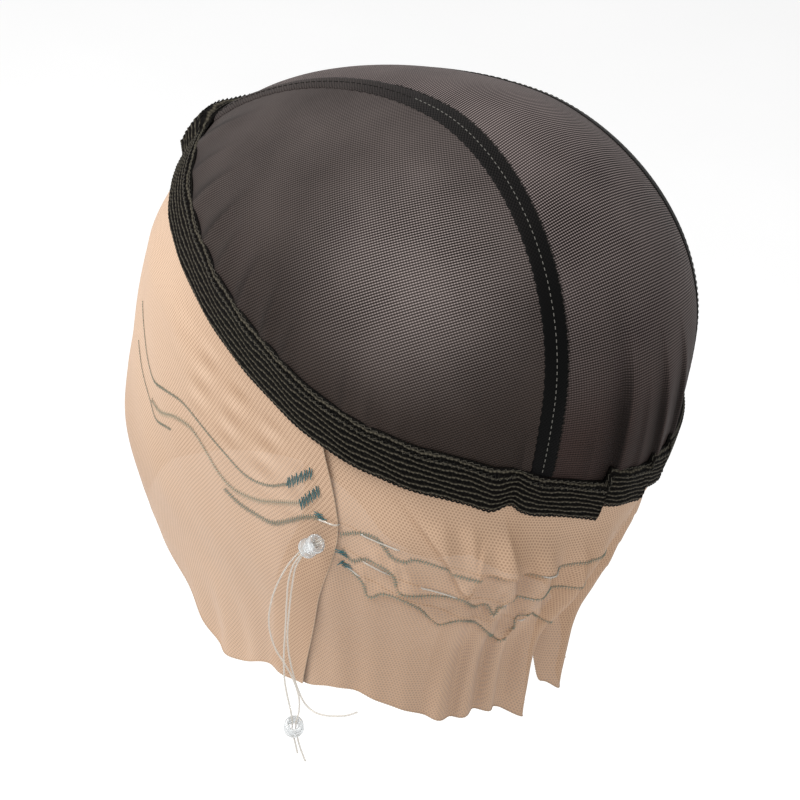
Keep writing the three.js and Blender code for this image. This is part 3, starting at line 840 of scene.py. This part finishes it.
def crown_relief(p):
    x, over = over_band(p)
    ripple = 0.12 * np.sin(x * 0.55 + 2 * np.sin(x * 0.13)) * np.exp(-np.abs(over) / 14)
    other_side = mirror([row for row in CROWN_PLEATS if row[0] < 120], 360)
    return pleats(CROWN_PLEATS + other_side, x, over, DEGREE * CROWN_RADIUS) + ripple


def crown_skin(points):
    return on_form(points, crown_relief(points))[0], fold_shade(points)


def crown_centre():
    across = np.linspace(-1, 1, CENTRE_COLUMNS)
    low, high = crown_ends(across, 0.0, crown_edge)
    arc = low + np.linspace(0, 1, CROWN_STEPS)[:, None] * (high - low)
    return crown_skin(crown_point(arc, across, 0.0))


def crown_side(side):
    beside = side * CLEARANCE
    low, high = crown_ends(side, beside, crown_edge)
    along = np.linspace(0, 1, CROWN_STEPS)
    seam = crown_point(low + along * (high - low), side, beside)
    corners = [crown_point(end, side, beside) for end in (low, high)]
    first, last = (math.atan2(float(p[1]), float(side * p[0])) for p in corners)
    turn = first + along * (last - first)
    edge = band_point(turn if side > 0 else math.pi - turn, crown_edge)
    down = np.linspace(0, 1, SIDE_ROWS)[None, :, None]
    between = unit(unit(seam)[:, None] * (1 - down) + unit(edge)[:, None] * down)
    reach = solve(lambda r: form_value(between * r[..., None]), np.zeros(between.shape[:2]), 2 * FRONT_REACH)
    return crown_skin(between * reach[..., None])


def crown_map(side):
    facing = (side * 0.9, 0.15, 0.4)
    return lambda grid: domed_map(grid, facing) if side else flat_map(grid, grid.shape[1] // 2)


for name, side, finish, width in (
    ("crown_centre", 0, centre_net, 0.085),
    ("crown_left", 1, side_net, 0.1),
    ("crown_right", -1, side_net, 0.1),
):
    points, shade = crown_side(side) if side else crown_centre()
    panel = ready(cloth("net_" + name, points, finish, flat=crown_map(side)), "crown_mesh", name)
    # The fold mark holds painted shade in front of the deep pleats.
    mark(panel, "fold", shade)
    area = round(sum(face.area for face in panel.data.polygons), 4)
    print(name, "covers", area, "square metres")

# %% [markdown]
# A tape of doubled net covers each seam. It lies so flat that it shows as a darker strip, with a row of
# short stitches down its middle. Over the brow it is as pale as the net, so that only the stitches show.
# The edge on the side of the centre panel is overlocked. The stitches are threads of their own.

# %% Seam tapes
TAPE_WIDTH = 7.8
TAPE_LIFT = 0.12
TAPE_BODY = 0.3
TAPE_STEPS = 14
TAPE_TUCK = 0.8
TAPE_PITCH = 0.0009
OVERLOCK_PITCH = 0.8
OVERLOCK_REACH = 0.45


def tape_look(cloth):
    ribs = (cloth.along((0.8, 0.6, 0)) * (TAU / TAPE_PITCH)).cosine()
    beads = (cloth.along((-0.6, 0.8, 0)) * (TAU / TAPE_PITCH)).cosine()
    yarn = ribs * 0.28 + beads * 0.22 + 0.5
    tone = yarn ** 1.5 * 0.8 + cloth.noise(60.0) * 0.3 - 0.1
    thin = 1 - cloth.along((1, 0, 0)).step(0.53, 0.61)
    dense = cloth.along((1, 0, 0)).step(0.6, 0.7)
    over_brow = tone.blend(color(22, 16, 15), color(84, 76, 73))
    behind = dense.blend(color(46, 43, 42), color(4, 4, 4))
    return {
        "Base Color": thin.blend(tone.blend(color(2, 2, 2), behind), over_brow),
        "Roughness": yarn * 0.2 + 0.6,
        "Normal": yarn.bump(0.0001, 0.6),
    }


def yarn_finish(name, dark, light, scale=2600.0, sheen=DARK_CLOTH):
    def recipe(cloth):
        twist = cloth.noise(scale, 1.0)
        return {"Base Color": twist.blend(color(*dark), color(*light)), "Roughness": twist * 0.2 + 0.55}
    return finish_of(name, recipe, **sheen)


tape_net = finish_of("tape_net", tape_look, **DARK_CLOTH)
dark_yarn = yarn_finish("dark_yarn", (6, 6, 5), (40, 38, 35))
grey_yarn = yarn_finish("grey_yarn", (24, 22, 19), (96, 92, 82))
pale_yarn = yarn_finish("pale_yarn", (70, 68, 64), (128, 126, 120))


def seam_tape(side):
    across = np.linspace(-0.5, 0.5, TAPE_STEPS + 1)
    low, high = crown_ends(float(side), across * TAPE_WIDTH, band_upper - TAPE_TUCK)
    share = np.linspace(0, 1, 321)[:, None]
    way = share * 250
    curl = 0.2 * np.sin(way * 1.7 + np.sin(way * 0.37)) * np.abs(across * 2) ** 3
    points = crown_point(low + share * (high - low), float(side), across * TAPE_WIDTH + curl)
    crowned = TAPE_LIFT + TAPE_BODY * (1 - np.abs(across * 2) ** 6)
    relief = crown_relief(points)
    upper = on_form(points, relief + crowned)[0]
    lower = on_form(points, relief + TAPE_LIFT / 2)[0]
    return np.concatenate([upper, lower[:, ::-1], upper[:, :1]], 1), upper


for side, name in ((1, "seam_tape_left"), (-1, "seam_tape_right")):
    skin, top = seam_tape(side)
    ready(cloth("net_" + name, skin, tape_net), "seam_cloth", name)
    line = top[:, TAPE_STEPS // 2] + unit(top[:, TAPE_STEPS // 2]) * 0.08
    third = len(line) // 3
    edge = stepped(top[:, 0 if side > 0 else TAPE_STEPS], OVERLOCK_PITCH)
    swing = sideways(edge, unit(edge)) * to_and_fro(edge) * OVERLOCK_REACH
    overlock = edge + unit(edge) * 0.1 + swing
    for kind, lines, radius, finish in (
        ("front_stitches_on_", dashes(line[:third], 1.5, 0.9), 0.17, dark_yarn),
        ("stitches_on_", dashes(line[third:], 0.9, 1.1), 0.15, pale_yarn),
        ("overlock_on_", [overlock[len(edge) // 3:]], 0.13, dark_yarn),
    ):
        ready(thread(kind + name, lines, radius, finish), "seam_cloth")

# %% [markdown]
# The band is a ribbed woven elastic. Its eight ribs run round the cap and waver a little, since the rubber
# in them pulls unevenly, and its lower edge has small loops. At the back it is drawn narrower and folded
# over itself three times: it sinks towards each fold, and starts again higher up and closer in. Tables of
# angles and millimetres say how far it is shifted up and lifted off the form. Each point also keeps how
# bright its rib is: partly the paler twisted thread of each rib and partly a painted highlight on it, with
# painted shade in the grooves and a painted shadow on the walls of the folds.

# %% Elastic band
RIB_COUNT = 8
BAND_FOLDS = [(143, 9, 0.8), (172, 8, 1.3)]
BAND_SHIFTS = [
    (0, 0.8), (11.4, 2.2), (13, 0.2), (18, 1.4), (24, 1.2), (34, 0), (118, 0.4), (135, 1.6),
    (140, 0.9), (145.5, 1.9), (151.5, -0.7), (160, -2.2), (168, -3.6), (168.6, 1.8), (182.4, -1.6),
    (183, 1.8), (191, -1.0), (191.6, 1.6), (206, 0), (345, 0), (360, 0.8),
]
BAND_LIFTS = [
    (0, 2.0), (4, 2.9), (10.8, 3.4), (13, -0.3), (18, -0.3), (30, 0.4), (45, 0), (156, 0), (168, 1.1),
    (168.6, 0), (182.4, 1.1), (183, 0), (191, 0.9), (191.6, 0), (315, 0), (330, 0.3), (342, 1.0),
    (350, 2.0), (356, 2.2), (360, 2.0),
]
BAND_ENDS = [168.4, 182.8, 191.4]
BAND_ROUND = 560
BAND_COLUMNS = 1100
BAND_ROWS = 81
INNER_STRIDE = 20
EDGE_POINTS = 1600
BAND_SEAT = 0.35
BAND_BODY = 1.0
BAND_TAPER = 0.75
CREASE_AT, CREASE_BREADTH, CREASE_DENT, CREASE_RISE = 144.5, 2.4, 0.8, 1.8
GATHERED_IN = 2.2


def band_shape(angle, share):
    """How far the band's face stands out and is shifted up, at an angle and a share of its depth."""
    around = np.asarray(angle) % 360
    crease = np.exp(-((around - CREASE_AT) / CREASE_BREADTH) ** 2)
    out = folds(BAND_FOLDS, angle) + folds(BAND_FOLDS, np.asarray(angle) + 360)
    out = out + np.interp(around, *zip(*BAND_LIFTS)) - CREASE_DENT * crease
    slow = 0.2 * np.sin(np.radians(around) * 9 + 1) + 0.15 * np.sin(np.radians(around) * 23)
    drawn = GATHERED_IN * (1 - share) * window(around, 138, 160, 205, 225)
    shift = np.interp(around, *zip(*BAND_SHIFTS)) + CREASE_RISE * crease * (1 - share) ** 1.5
    return out, shift + slow + drawn


def band_face(angle, share, lift, raised=1.0):
    """Points at a lift over the band's face, or over its flat inner face if not raised, and how they face."""
    out, shift = band_shape(angle, share)
    points, normal = on_form(band_point(turn_of(angle), BAND_LOWER + share * BAND_DEPTH + shift), 0.0)
    body = raised * (out + BAND_BODY) * (1 - BAND_TAPER * smooth(share, 0.86, 1.0))
    return points + normal * (BAND_SEAT + body + lift)[..., None], normal


def ribs_of(way, share):
    """The height of a wavering row of ribs, each twisted like a cord, and how bright it is: partly pale
    thread and partly a painted highlight on each rib, with painted shade in the grooves.
    """
    row = share * RIB_COUNT
    waver = 0.06 * np.sin(way * 1.25 + 2.4 * np.floor(row)) + 0.12 * np.sin(way * 0.31 + 0.9 * row)
    hump = np.abs(np.sin(math.pi * (row + waver)))
    twist = 0.5 + 0.5 * np.sin(way * 4.0 + 1.9 * np.floor(row + waver) + 2.2 * (row + waver))
    selvedge = window(share, 0.0, 0.05, 0.96, 1.0)
    height = hump * (RIB_HEIGHT - 0.1 + 0.25 * twist) * (0.35 + 0.65 * selvedge)
    return height, hump ** 16 * (0.25 + 0.75 * twist) * selvedge


def elastic_band():
    angle = np.linspace(-180, 180, BAND_COLUMNS + 1)[:-1, None]
    way = (angle + 180) / 360 * BAND_ROUND
    angle, share, way = spread(angle, np.linspace(0, 1, BAND_ROWS), way)
    height, rib_thread_highlight_shade = ribs_of(way, share)
    face = band_face(angle, share, height)[0]
    across = angle[:, ::INNER_STRIDE]
    inner = band_face(across, share[:, ::-INNER_STRIDE], np.zeros(across.shape), raised=0.0)[0]
    strip = np.concatenate([face, inner, face[:, :1]], 1)
    # Painted shadow: the ribs turn dark on the walls where the band folds over itself.
    for fold in BAND_ENDS:
        rib_thread_highlight_shade = rib_thread_highlight_shade * (1 - np.exp(-((angle % 360 - fold) / 0.5) ** 2))
    return strip, np.concatenate([rib_thread_highlight_shade, np.zeros(inner.shape[:2]), rib_thread_highlight_shade[:, :1]], 1)


def elastic_look(cloth):
    fuzz = cloth.noise(1500.0, 2.0)
    # The rib mark is paler thread with a painted highlight on each rib, and painted shade in the grooves and
    # on the fold walls.
    rib_thread_highlight_shade = cloth.kept("rib_light_and_shade") * 0.85 + fuzz * 0.3 - 0.14
    return {
        "Base Color": rib_thread_highlight_shade.blend(color(3, 2, 2), color(106, 100, 86)),
        "Roughness": fuzz * 0.3 + 0.5,
        "Normal": fuzz.bump(0.0002, 0.6),
    }


elastic = finish_of("ribbed_elastic", elastic_look, **{"Specular IOR Level": 0.06})
strip, rib_thread_highlight_shade = elastic_band()
band = ready(cloth("ribbed_band", strip, elastic, closed=True), "band_elastic", "elastic_band")
mark(band, "rib_light_and_shade", rib_thread_highlight_shade)


def round_band(share, lift):
    around = np.linspace(-180, 180, EDGE_POINTS)
    return band_face(around, np.full(EDGE_POINTS, share), np.full(EDGE_POINTS, lift))


PICOT_PITCH = 1.7
PICOT_DROP = 0.75
LOOP_STEPS = 8
STITCH_HEIGHT = 0.9 * RIB_HEIGHT
ZIGZAG_PITCH = 2.2
picot = stepped(round_band(0.0, -0.4 * BAND_BODY)[0], PICOT_PITCH / LOOP_STEPS)
swing = np.abs(np.sin(np.arange(len(picot)) * math.pi / LOOP_STEPS)) ** 0.6
picot = picot - (PICOT_DROP * swing)[:, None] * (0, 0, 1)
ready(thread("picot_edge", [picot], 0.3, dark_yarn), "band_elastic")

for name, share, reach, finish in (
    ("chain_on_band_edge", 0.965, 0.34, grey_yarn),
    ("zigzag_on_band", 0.85, 0.75, dark_yarn),
    ("second_zigzag_on_band", 0.82, 0.6, grey_yarn),
):
    line = zigzag(*round_band(share, STITCH_HEIGHT), ZIGZAG_PITCH, reach, 0.3)
    ready(thread(name, [line], 0.15, finish), "band_elastic")

# %% [markdown]
# Wig lace is a net of six-sided holes just under a millimetre across. Three cosines, turned 60 degrees
# from each other, add up to a honeycomb: high in the holes, low on the yarn. The holes are only a little
# open, since nothing lies under the net here that would fill them. Each point keeps how pale the lace is,
# which carries painted light and painted shade.

# %% Lace net
LACE_PITCH = 0.00112


def lace_look(cloth):
    wave = TAU / (LACE_PITCH * 0.866)
    honeycomb = sum(
        (cloth.along((math.cos(a), math.sin(a), 0)) * wave).cosine()
        for a in (math.pi / 2, math.pi / 2 + math.pi / 3, math.pi / 2 + 2 * math.pi / 3)
    )
    yarn = 1 - honeycomb.step(-0.9, 1.6)
    patches = cloth.noise(22.0, 3.0)
    weave = yarn * 0.75 + patches * 0.3
    low = weave.blend(color(134, 103, 80), color(176, 143, 114))
    high = weave.blend(color(166, 137, 114), color(212, 182, 156))
    return {
        # The tone mark carries painted light and painted shade, between these two ranges of lace colour.
        "Base Color": cloth.kept("tone").blend(low, high),
        "Alpha": yarn * 0.07 + 0.92,
        "Roughness": patches * 0.2 + 0.7,
        "Normal": yarn.bump(0.0001, 0.4),
    }


lace_net = finish_of("lace_net", lace_look, **{
    "Sheen Weight": 0.08, "Sheen Roughness": 0.5, "Specular IOR Level": 0.25})

# %% [markdown]
# The skirt is drawn between two sides, each an angle for every share of the way down. Under the band it
# is flat; below it hangs free. The nape piece has the pleats that the cords draw up: broad ones that its
# solid has too, and sharper ones from a table, given by their two ends in degrees and millimetres. Between
# the cords the slack lace sags over the next cord below. Each sag has a table of its lower edge, from the
# ear to the nape, with rows of an angle, a height and how far it hangs out, and tongues where it dips. On
# the right of the nape the lace is drawn closer in. Its colour has painted light at the brow, painted light
# and shade of wrinkles at the temples, and painted shade in its folds and just under each sag; it is also
# darker low at the sides and back.

# %% Lace skirt
JOIN_DOWN = [0, 0.3, 0.65, 1]
FRONT_ENDS = [98, 103, 96, 88]
BACK_BEGINS = [91, 92, 80, 72]
TUCK_FROM = 106
TUCK_TO = 122
LACE_PLEATS = [
    (146, -46, 158, -101, 5.5, 1.6, 5.0),
    (137, -45, 141, -72, 4.0, 1.0, 2.0),
    (130, -44, 134, -70, 4.0, 0.8, 1.0),
    (160, -62, 174, -112, 5.0, 1.5, 4.0),
    (170, -60, 186, -118, 4.5, 1.4, 3.0),
    (121, -60, 127, -74, 3.0, 0.7, 1.0),
    (114, -58, 118, -70, 2.5, 0.5, 1.0),
    (146, -86, 150, -122, 4.0, 0.8, 1.5),
    (134, -82, 131, -124, 5.0, 0.6, 1.0),
]
SAGS = [
    (16.0, [(112, -33, 0), (118.5, -36, 0.6), (125, -44.8, 1.3), (130, -52.4, 2.0), (133.5, -60, 2.6),
            (136, -65.6, 3.0), (137.8, -67.4, 3.2), (139.2, -66.6, 3.0), (140, -61, 2.8), (141.5, -59.6, 2.6),
            (147.5, -60, 2.6), (155.5, -60.5, 2.4), (165, -61, 1.6), (180, -61, 0)]),
    (9.0, [(109, -58, 0), (115.2, -62, 0.8), (118.8, -64.4, 1.4), (121, -70.6, 2.0), (125.8, -71, 2.0),
           (132.8, -70.6, 1.9), (137.2, -70.8, 2.0), (141, -74, 2.3), (143.6, -73, 2.1), (145.5, -76.6, 2.5),
           (146.9, -77.8, 2.5), (147.6, -73.8, 2.1), (149, -71.6, 1.9), (156, -72, 1.8), (166, -73, 1.2),
           (180, -74, 0)]),
    (8.0, [(104, -66, 0), (110.5, -70.8, 0.8), (112.2, -75.8, 1.2), (114, -75.8, 1.2), (115.8, -73.6, 1.1),
           (120, -73.8, 1.2), (125.8, -76.4, 1.5), (132.5, -83.8, 1.9), (137.8, -80.6, 1.6),
           (144.5, -84, 1.8), (154.8, -95.4, 2.5), (156, -94, 2.3), (157, -83, 1.5), (160, -81, 1.3),
           (172, -91, 1.1), (180, -95, 0)]),
]
SAG_LIP = 1.1
FRONT_EDGE_IN = 0.9
RIGHT_SIDE_IN = 7.0
TEMPLE_RADIUS = 85
NAPE_RADIUS = 62
NAPE_DEGREE = DEGREE * NAPE_RADIUS
FRONT_GRID = (341, 121)
BACK_GRID = (381, 221)


def lace_grid(columns, rows, left, right, relief):
    down = np.r_[-1, -0.5, np.linspace(0, 1, rows)][None, :]
    u = np.linspace(0, 1, columns)[:, None]
    angle = curve(JOIN_DOWN, left, down) * (1 - u) + curve(JOIN_DOWN, right, down) * u
    foot = lace_foot(angle)
    under = foot + (lace_top(angle) - foot) * -np.minimum(down, 0)
    height = np.where(down < 0, under, foot + (lace_hem(angle) - foot) * np.maximum(down, 0))
    points = skirt_point(angle, height)
    return lifted(points, relief(angle, height)), angle, height


def front_relief(angle, height):
    below = smooth(lace_foot(angle) - height, 0, 20)
    x = np.radians(angle) * TEMPLE_RADIUS
    soft = 0.35 * np.sin(x * 0.21 + height * 0.05) * np.sin(height * 0.09 + x * 0.04)
    near_end = smooth(np.abs(angle), 84, 99)
    soft = soft * (1 - near_end) - FRONT_EDGE_IN * near_end
    hem = smooth(-height, 95, 135) * 0.8 * np.sin(x * 0.33 + 0.6)
    return below * (soft + hem)


def sagging(around, height, reach, table):
    """Slack lace that hangs out more and more down to its lower edge, and turns in sharply below it."""
    angles, edges, depths = zip(*table)
    over = height - np.interp(around, angles, edges)
    hang = np.where(over > 0, 1 - smooth(over, 0, reach), 1 - smooth(-over, 0, SAG_LIP))
    return np.interp(around, angles, depths, left=0, right=0) * hang


def back_relief(angle, height):
    near = np.minimum(angle, 360 - angle)
    inset = (LACE_WALL + CLEARANCE) * (1 - smooth(near, TUCK_FROM, TUCK_TO))
    below = smooth(lace_foot(angle) - height, 0, 12)
    x = np.radians(angle) * NAPE_RADIUS
    sharp = pleats(LACE_PLEATS, x, height, NAPE_DEGREE)
    mirrored = pleats(mirror(LACE_PLEATS[:4], 355), x, height, NAPE_DEGREE)
    ripple = 0.3 * np.sin(x * 0.5 + height * 0.03) * smooth(-height, 45, 70)
    sag = sum(sagging(from_front(angle), height, reach, table) for reach, table in SAGS)
    sag = sag * (1 - 0.85 * smooth(angle, 172, 190))
    drawn = window(angle, 186, 204, 236, 256) * (1 - smooth(-height, 66, 98))
    drawn = drawn * smooth(lace_foot(angle) - height, -6, 22)
    return gather(angle, height) - inset + below * (sharp + mirrored + ripple + sag - RIGHT_SIDE_IN * drawn)


def lace_light_and_tone(angle, height):
    """Painted light makes the lace palest over the brow; lower down at the sides and back it is made darker.
    """
    near = from_front(angle)
    brow_light = (1 - smooth(near, 25, 70)) * (1 - smooth(-height, 30, 90))
    return 0.52 + 0.48 * brow_light - 0.3 * smooth(near, 70, 110) * smooth(-height, 40, 85)


def painted_wrinkle_light(angle, height):
    """Painted light and shade in faint wrinkles along the band at the temples, where it pulls the lace up."""
    near = from_front(angle)
    down = lace_foot(angle) - height
    where = window(near, 42, 60, 84, 98) * window(down, 3, 10, 26, 46)
    waver = 0.6 + 0.4 * np.sin(np.radians(near) * 31 + down * 0.1)
    return 0.3 * where * waver * np.sin(down * 0.62 + np.radians(near) * 9)


def lace_painted_shade(angle, height):
    """How dark the painted shade is in the lace's folds, and the painted shadow just under the lower edge of
    each sag.
    """
    total = np.zeros(np.shape(angle))
    for reach, table in SAGS:
        angles, edges, depths = zip(*table)
        under = np.interp(angle, angles, edges) - height
        deep = np.interp(angle, angles, depths, left=0, right=0) * 0.3
        total = total + deep * window(under, -0.8, 0.3, 0.3, 5)
    for row in LACE_PLEATS:
        beside, strength = beside_fold(np.radians(angle) * NAPE_RADIUS, height, row, NAPE_DEGREE)
        dark = np.exp(-(beside / row[4]) ** 2) * smooth(-beside, -0.4, 0.6)
        total = total + 0.3 * row[5] * strength * dark
    return total


front, *front_at = lace_grid(*FRONT_GRID, [-x for x in FRONT_ENDS], FRONT_ENDS, front_relief)
back, *back_at = lace_grid(*BACK_GRID, BACK_BEGINS, [360 - x for x in BACK_BEGINS], back_relief)
front_piece = ready(cloth("net_lace_front", front, lace_net), "lace", "lace_front")
back_piece = ready(cloth("net_lace_back", back, lace_net), "lace", "lace_back")
# The tone marks add painted light at the brow, painted light and shade for the temple wrinkles, and painted
# shade in the nape folds and under the sags.
mark(front_piece, "tone", lace_light_and_tone(*front_at) + painted_wrinkle_light(*front_at))
mark(back_piece, "tone", np.maximum(lace_light_and_tone(*back_at) - 0.6 * lace_painted_shade(*back_at), -0.3))

# %% [markdown]
# Every cut edge of lace shows as a fine denser line, where the last row of holes closes. It is a thread
# along the grid's own border, so that it follows each pleat.

# %% Lace edges
HOLE_PITCH = 0.5
HOLE_SWING = 0.1
edge_yarn = yarn_finish("edge_yarn", (148, 122, 100), (200, 176, 150), 900.0, sheen={})
for name, grid in (("front", front), ("back", back)):
    border = np.concatenate([grid[0, 2:], grid[1:-1, -1], grid[-1, :1:-1]])
    border = stepped(border, HOLE_PITCH)
    border = border + outward(border) * HOLE_SWING * to_and_fro(border)
    ready(thread("edge_of_lace_" + name, [border], 0.17, edge_yarn), "lace")

# %% [markdown]
# Guide threads cross the lace in rows, and the clear elastic runs in and out of the net along the rear
# ones. Each row is a fine line with slanting stitches over it, of grey-green yarn, and some rows end in a
# dense blue-green bar. A row is a short table of angles and heights, read from the photograph, with the
# half width and the slant of its stitches. The other side of the cap has the same rows, mirrored, but
# they end before they come round to the nape, since the photograph shows none there.

# %% Guide threads
GUIDE_ROWS = {
    "guide_front_upper": (0.5, 0.25, [
        (27, -23), (30, -30.4), (34.2, -39.2), (37.5, -42), (43.2, -40.4), (49.5, -39.2), (57.2, -41.6),
        (64.8, -45.2), (73.2, -49.2), (81.5, -48), (88, -43.5)]),
    "guide_front_middle": (0.95, 0.45, [
        (36.2, -50.4), (40, -50.8), (47.2, -46.8), (53.2, -46.4), (58.8, -50.4), (64, -55.2), (69, -57.6),
        (76.5, -56.4), (85.5, -52), (92, -48.4)]),
    "guide_front_lower": (0.45, 0.2, [
        (27, -37.6), (30.5, -44.8), (35.2, -51.2), (38.2, -55.6), (42.8, -54), (45, -53.2)]),
    "guide_ear": (0.9, 0.45, [
        (65.5, -59.6), (70.8, -62), (76.2, -62.4), (82.5, -61.6), (88, -57.6), (93.8, -52.8), (97.8, -51.2)]),
    "guide_nape_upper": (0.75, 0.1, [
        (104, -54.8), (109.2, -52), (113.5, -52), (115.2, -54), (118.5, -58), (121.8, -58.4), (123.2, -57.2),
        (132.2, -59.2), (140.5, -60.8), (155.8, -60.8), (170, -61), (179.5, -61)]),
    "guide_nape_middle": (0.75, 0.1, [
        (104.2, -61.2), (107, -64), (110.8, -61.6), (115.2, -62), (118.8, -64.4), (121, -70.4),
        (125.8, -70.8), (137.2, -70.6), (141, -73.8), (144.2, -73.4), (146.4, -77.2), (147.4, -73.2),
        (156, -72), (179.5, -74)]),
    "guide_nape_lower": (0.6, 0.1, [
        (104.2, -66.4), (110.5, -70.8), (112.2, -75.6), (113.8, -75.6), (115.8, -73.6), (120, -73.6),
        (125.8, -76.4), (132.5, -83.6), (137.8, -80.4), (144.5, -84), (155, -95.2), (156.4, -92),
        (157.2, -80.8), (171.8, -91.2), (179.5, -95)]),
}
GUIDE_BARS = [
    ((88.0, -43.2), (95.2, -35.4), 1.3), ((92.2, -48.8), (97.4, -41.0), 1.3),
    ((97.0, -49.6), (98.6, -51.4), 1.0), ((103.4, -61.0), (105.0, -63.0), 0.9),
    ((104.0, -65.8), (106.4, -67.0), 0.9),
]
STITCH_PITCH = 0.92
BAR_PITCH = 0.75
BAR_SLANT = 0.8
STITCH_RADIUS = 0.11
MIRRORED_TO = 140
guide_yarn = yarn_finish("guide_yarn", (84, 98, 90), (146, 150, 134), 500.0)
ladder_yarn = yarn_finish("ladder_yarn", (150, 142, 122), (200, 190, 168), 500.0)
bar_yarn = yarn_finish("bar_yarn", (22, 76, 88), (84, 124, 124), 500.0)


def lace_line(row, lift, side):
    """A smooth line over the lace through angles and heights, on the left side or mirrored."""
    row = np.asarray(row, float)
    angle, height, _ = catmull(np.c_[row, np.zeros(len(row))], 12).T
    around = angle if side > 0 else 360 - angle
    relief = np.where(angle > 104, back_relief(around, height), front_relief(side * angle, height))
    return lifted(skirt_point(side * angle, height), relief + lift)


base = []
for name, (reach, slant, row) in GUIDE_ROWS.items():
    lines = []
    for side in (1, -1):
        line = lace_line([at for at in row if side > 0 or at[0] < MIRRORED_TO], 0.2, side)
        base.append(line)
        lines += strokes(line, outward(line), STITCH_PITCH, reach, side * slant)
    finish = ladder_yarn if name == "guide_front_middle" else guide_yarn
    ready(thread(name, lines, STITCH_RADIUS, finish), "lace")

bars = []
for first, last, reach in GUIDE_BARS:
    for side in (1, -1):
        line = lace_line([first, last], 0.35, side)
        bars += strokes(line, outward(line), BAR_PITCH, reach, side * BAR_SLANT, uneven=0.45)
ready(thread("guide_base_lines", base, 0.07, guide_yarn), "lace")
ready(thread("guide_bars", bars, 0.15, bar_yarn), "lace")

# %% [markdown]
# The three nape cords are the elastic that draws the lace in. They run in and out of the net: outside it
# on short bare stretches, where they shine, and just inside it elsewhere.

# %% Nape cords
NAPE_STATIONS = [104, 126, 150, 180]
NAPE_CORDS = {
    "nape_cord_upper": (98, [0.41, 0.445, 0.485, 0.475], [(97, 103), (109, 120), (156, 163)]),
    "nape_cord_middle": (104, [0.485, 0.54, 0.58, 0.58], [(110, 118), (126, 136), (148, 158)]),
    "nape_cord_lower": (104, [0.53, 0.605, 0.665, 0.7], [(105, 110), (157, 165)]),
}
CORD_INSIDE = 1.1
CORD_TRAVEL = 1.4
for name, (start, drops, bare) in NAPE_CORDS.items():
    angle = np.linspace(start, 360 - start, 400)
    near = from_front(angle)
    height = -LACE_DROP * curve(NAPE_STATIONS, drops, near)
    shown = sum(window(angle, a - 1, a + 1, b - 1, b + 1) for a, b in bare)
    relief = np.where(near > TUCK_FROM - 3, back_relief(angle, height), 0)
    line = lifted(skirt_point(angle, height), relief - CORD_INSIDE + CORD_TRAVEL * shown)
    ready(thread("bare_" + name, [line], CORD_DIAMETER / 2, clear_elastic), "clear_elastic", name)

# %% [markdown]
# The set is a pale floor far below, a soft even sky and two large soft lamps, as in a packshot. The floor
# lies low, so that the cap, which hangs where a wearer would hold it up, throws only a faint shadow.

# %% Floor and light
FLOOR_REACH = 30
FLOOR_LEVEL = -0.6


def floor_look(cloth):
    return {
        "Base Color": cloth.noise(6.0).blend(color(238, 238, 238), color(244, 244, 244)),
        "Roughness": cloth.noise(9.0) * 0.1 + 0.8,
    }


floor_paint = finish_of("floor_paint", floor_look, **{
    "Emission Color": (1, 1, 1, 1), "Emission Strength": 0.3, "Specular IOR Level": 0.1})
floor_points = np.array([[[-1, -1], [-1, 1]], [[1, -1], [1, 1]]], float) * FLOOR_REACH
floor_points = np.concatenate([floor_points, np.full((2, 2, 1), FLOOR_LEVEL)], -1)
floor = piece_from("floor", floor_points, [[0, 2, 3, 1]], floor_paint, floor_points[..., :2])

world = bpy.data.worlds.new("sky")
world.use_nodes = True
sky = world.node_tree.nodes["Background"].inputs
sky["Color"].default_value = (1, 1, 1, 1)
sky["Strength"].default_value = 0.6
bpy.context.scene.world = world


def lamp(name, place, aim, size, power):
    data = bpy.data.lights.new(name, "AREA")
    data.size = size
    data.energy = power
    light = placed(name, data)
    light.location = place
    light.rotation_euler = (Vector(aim) - Vector(place)).to_track_quat("-Z", "Y").to_euler()


middle = (0, -0.02, -0.08)
lamp("key", (0.9, -0.6, 1.0), middle, 0.7, 22)
lamp("fill", (0.5, 1.3, 0.5), middle, 1.2, 3)
bpy.context.scene.view_settings.view_transform = "Standard"
print("lit")
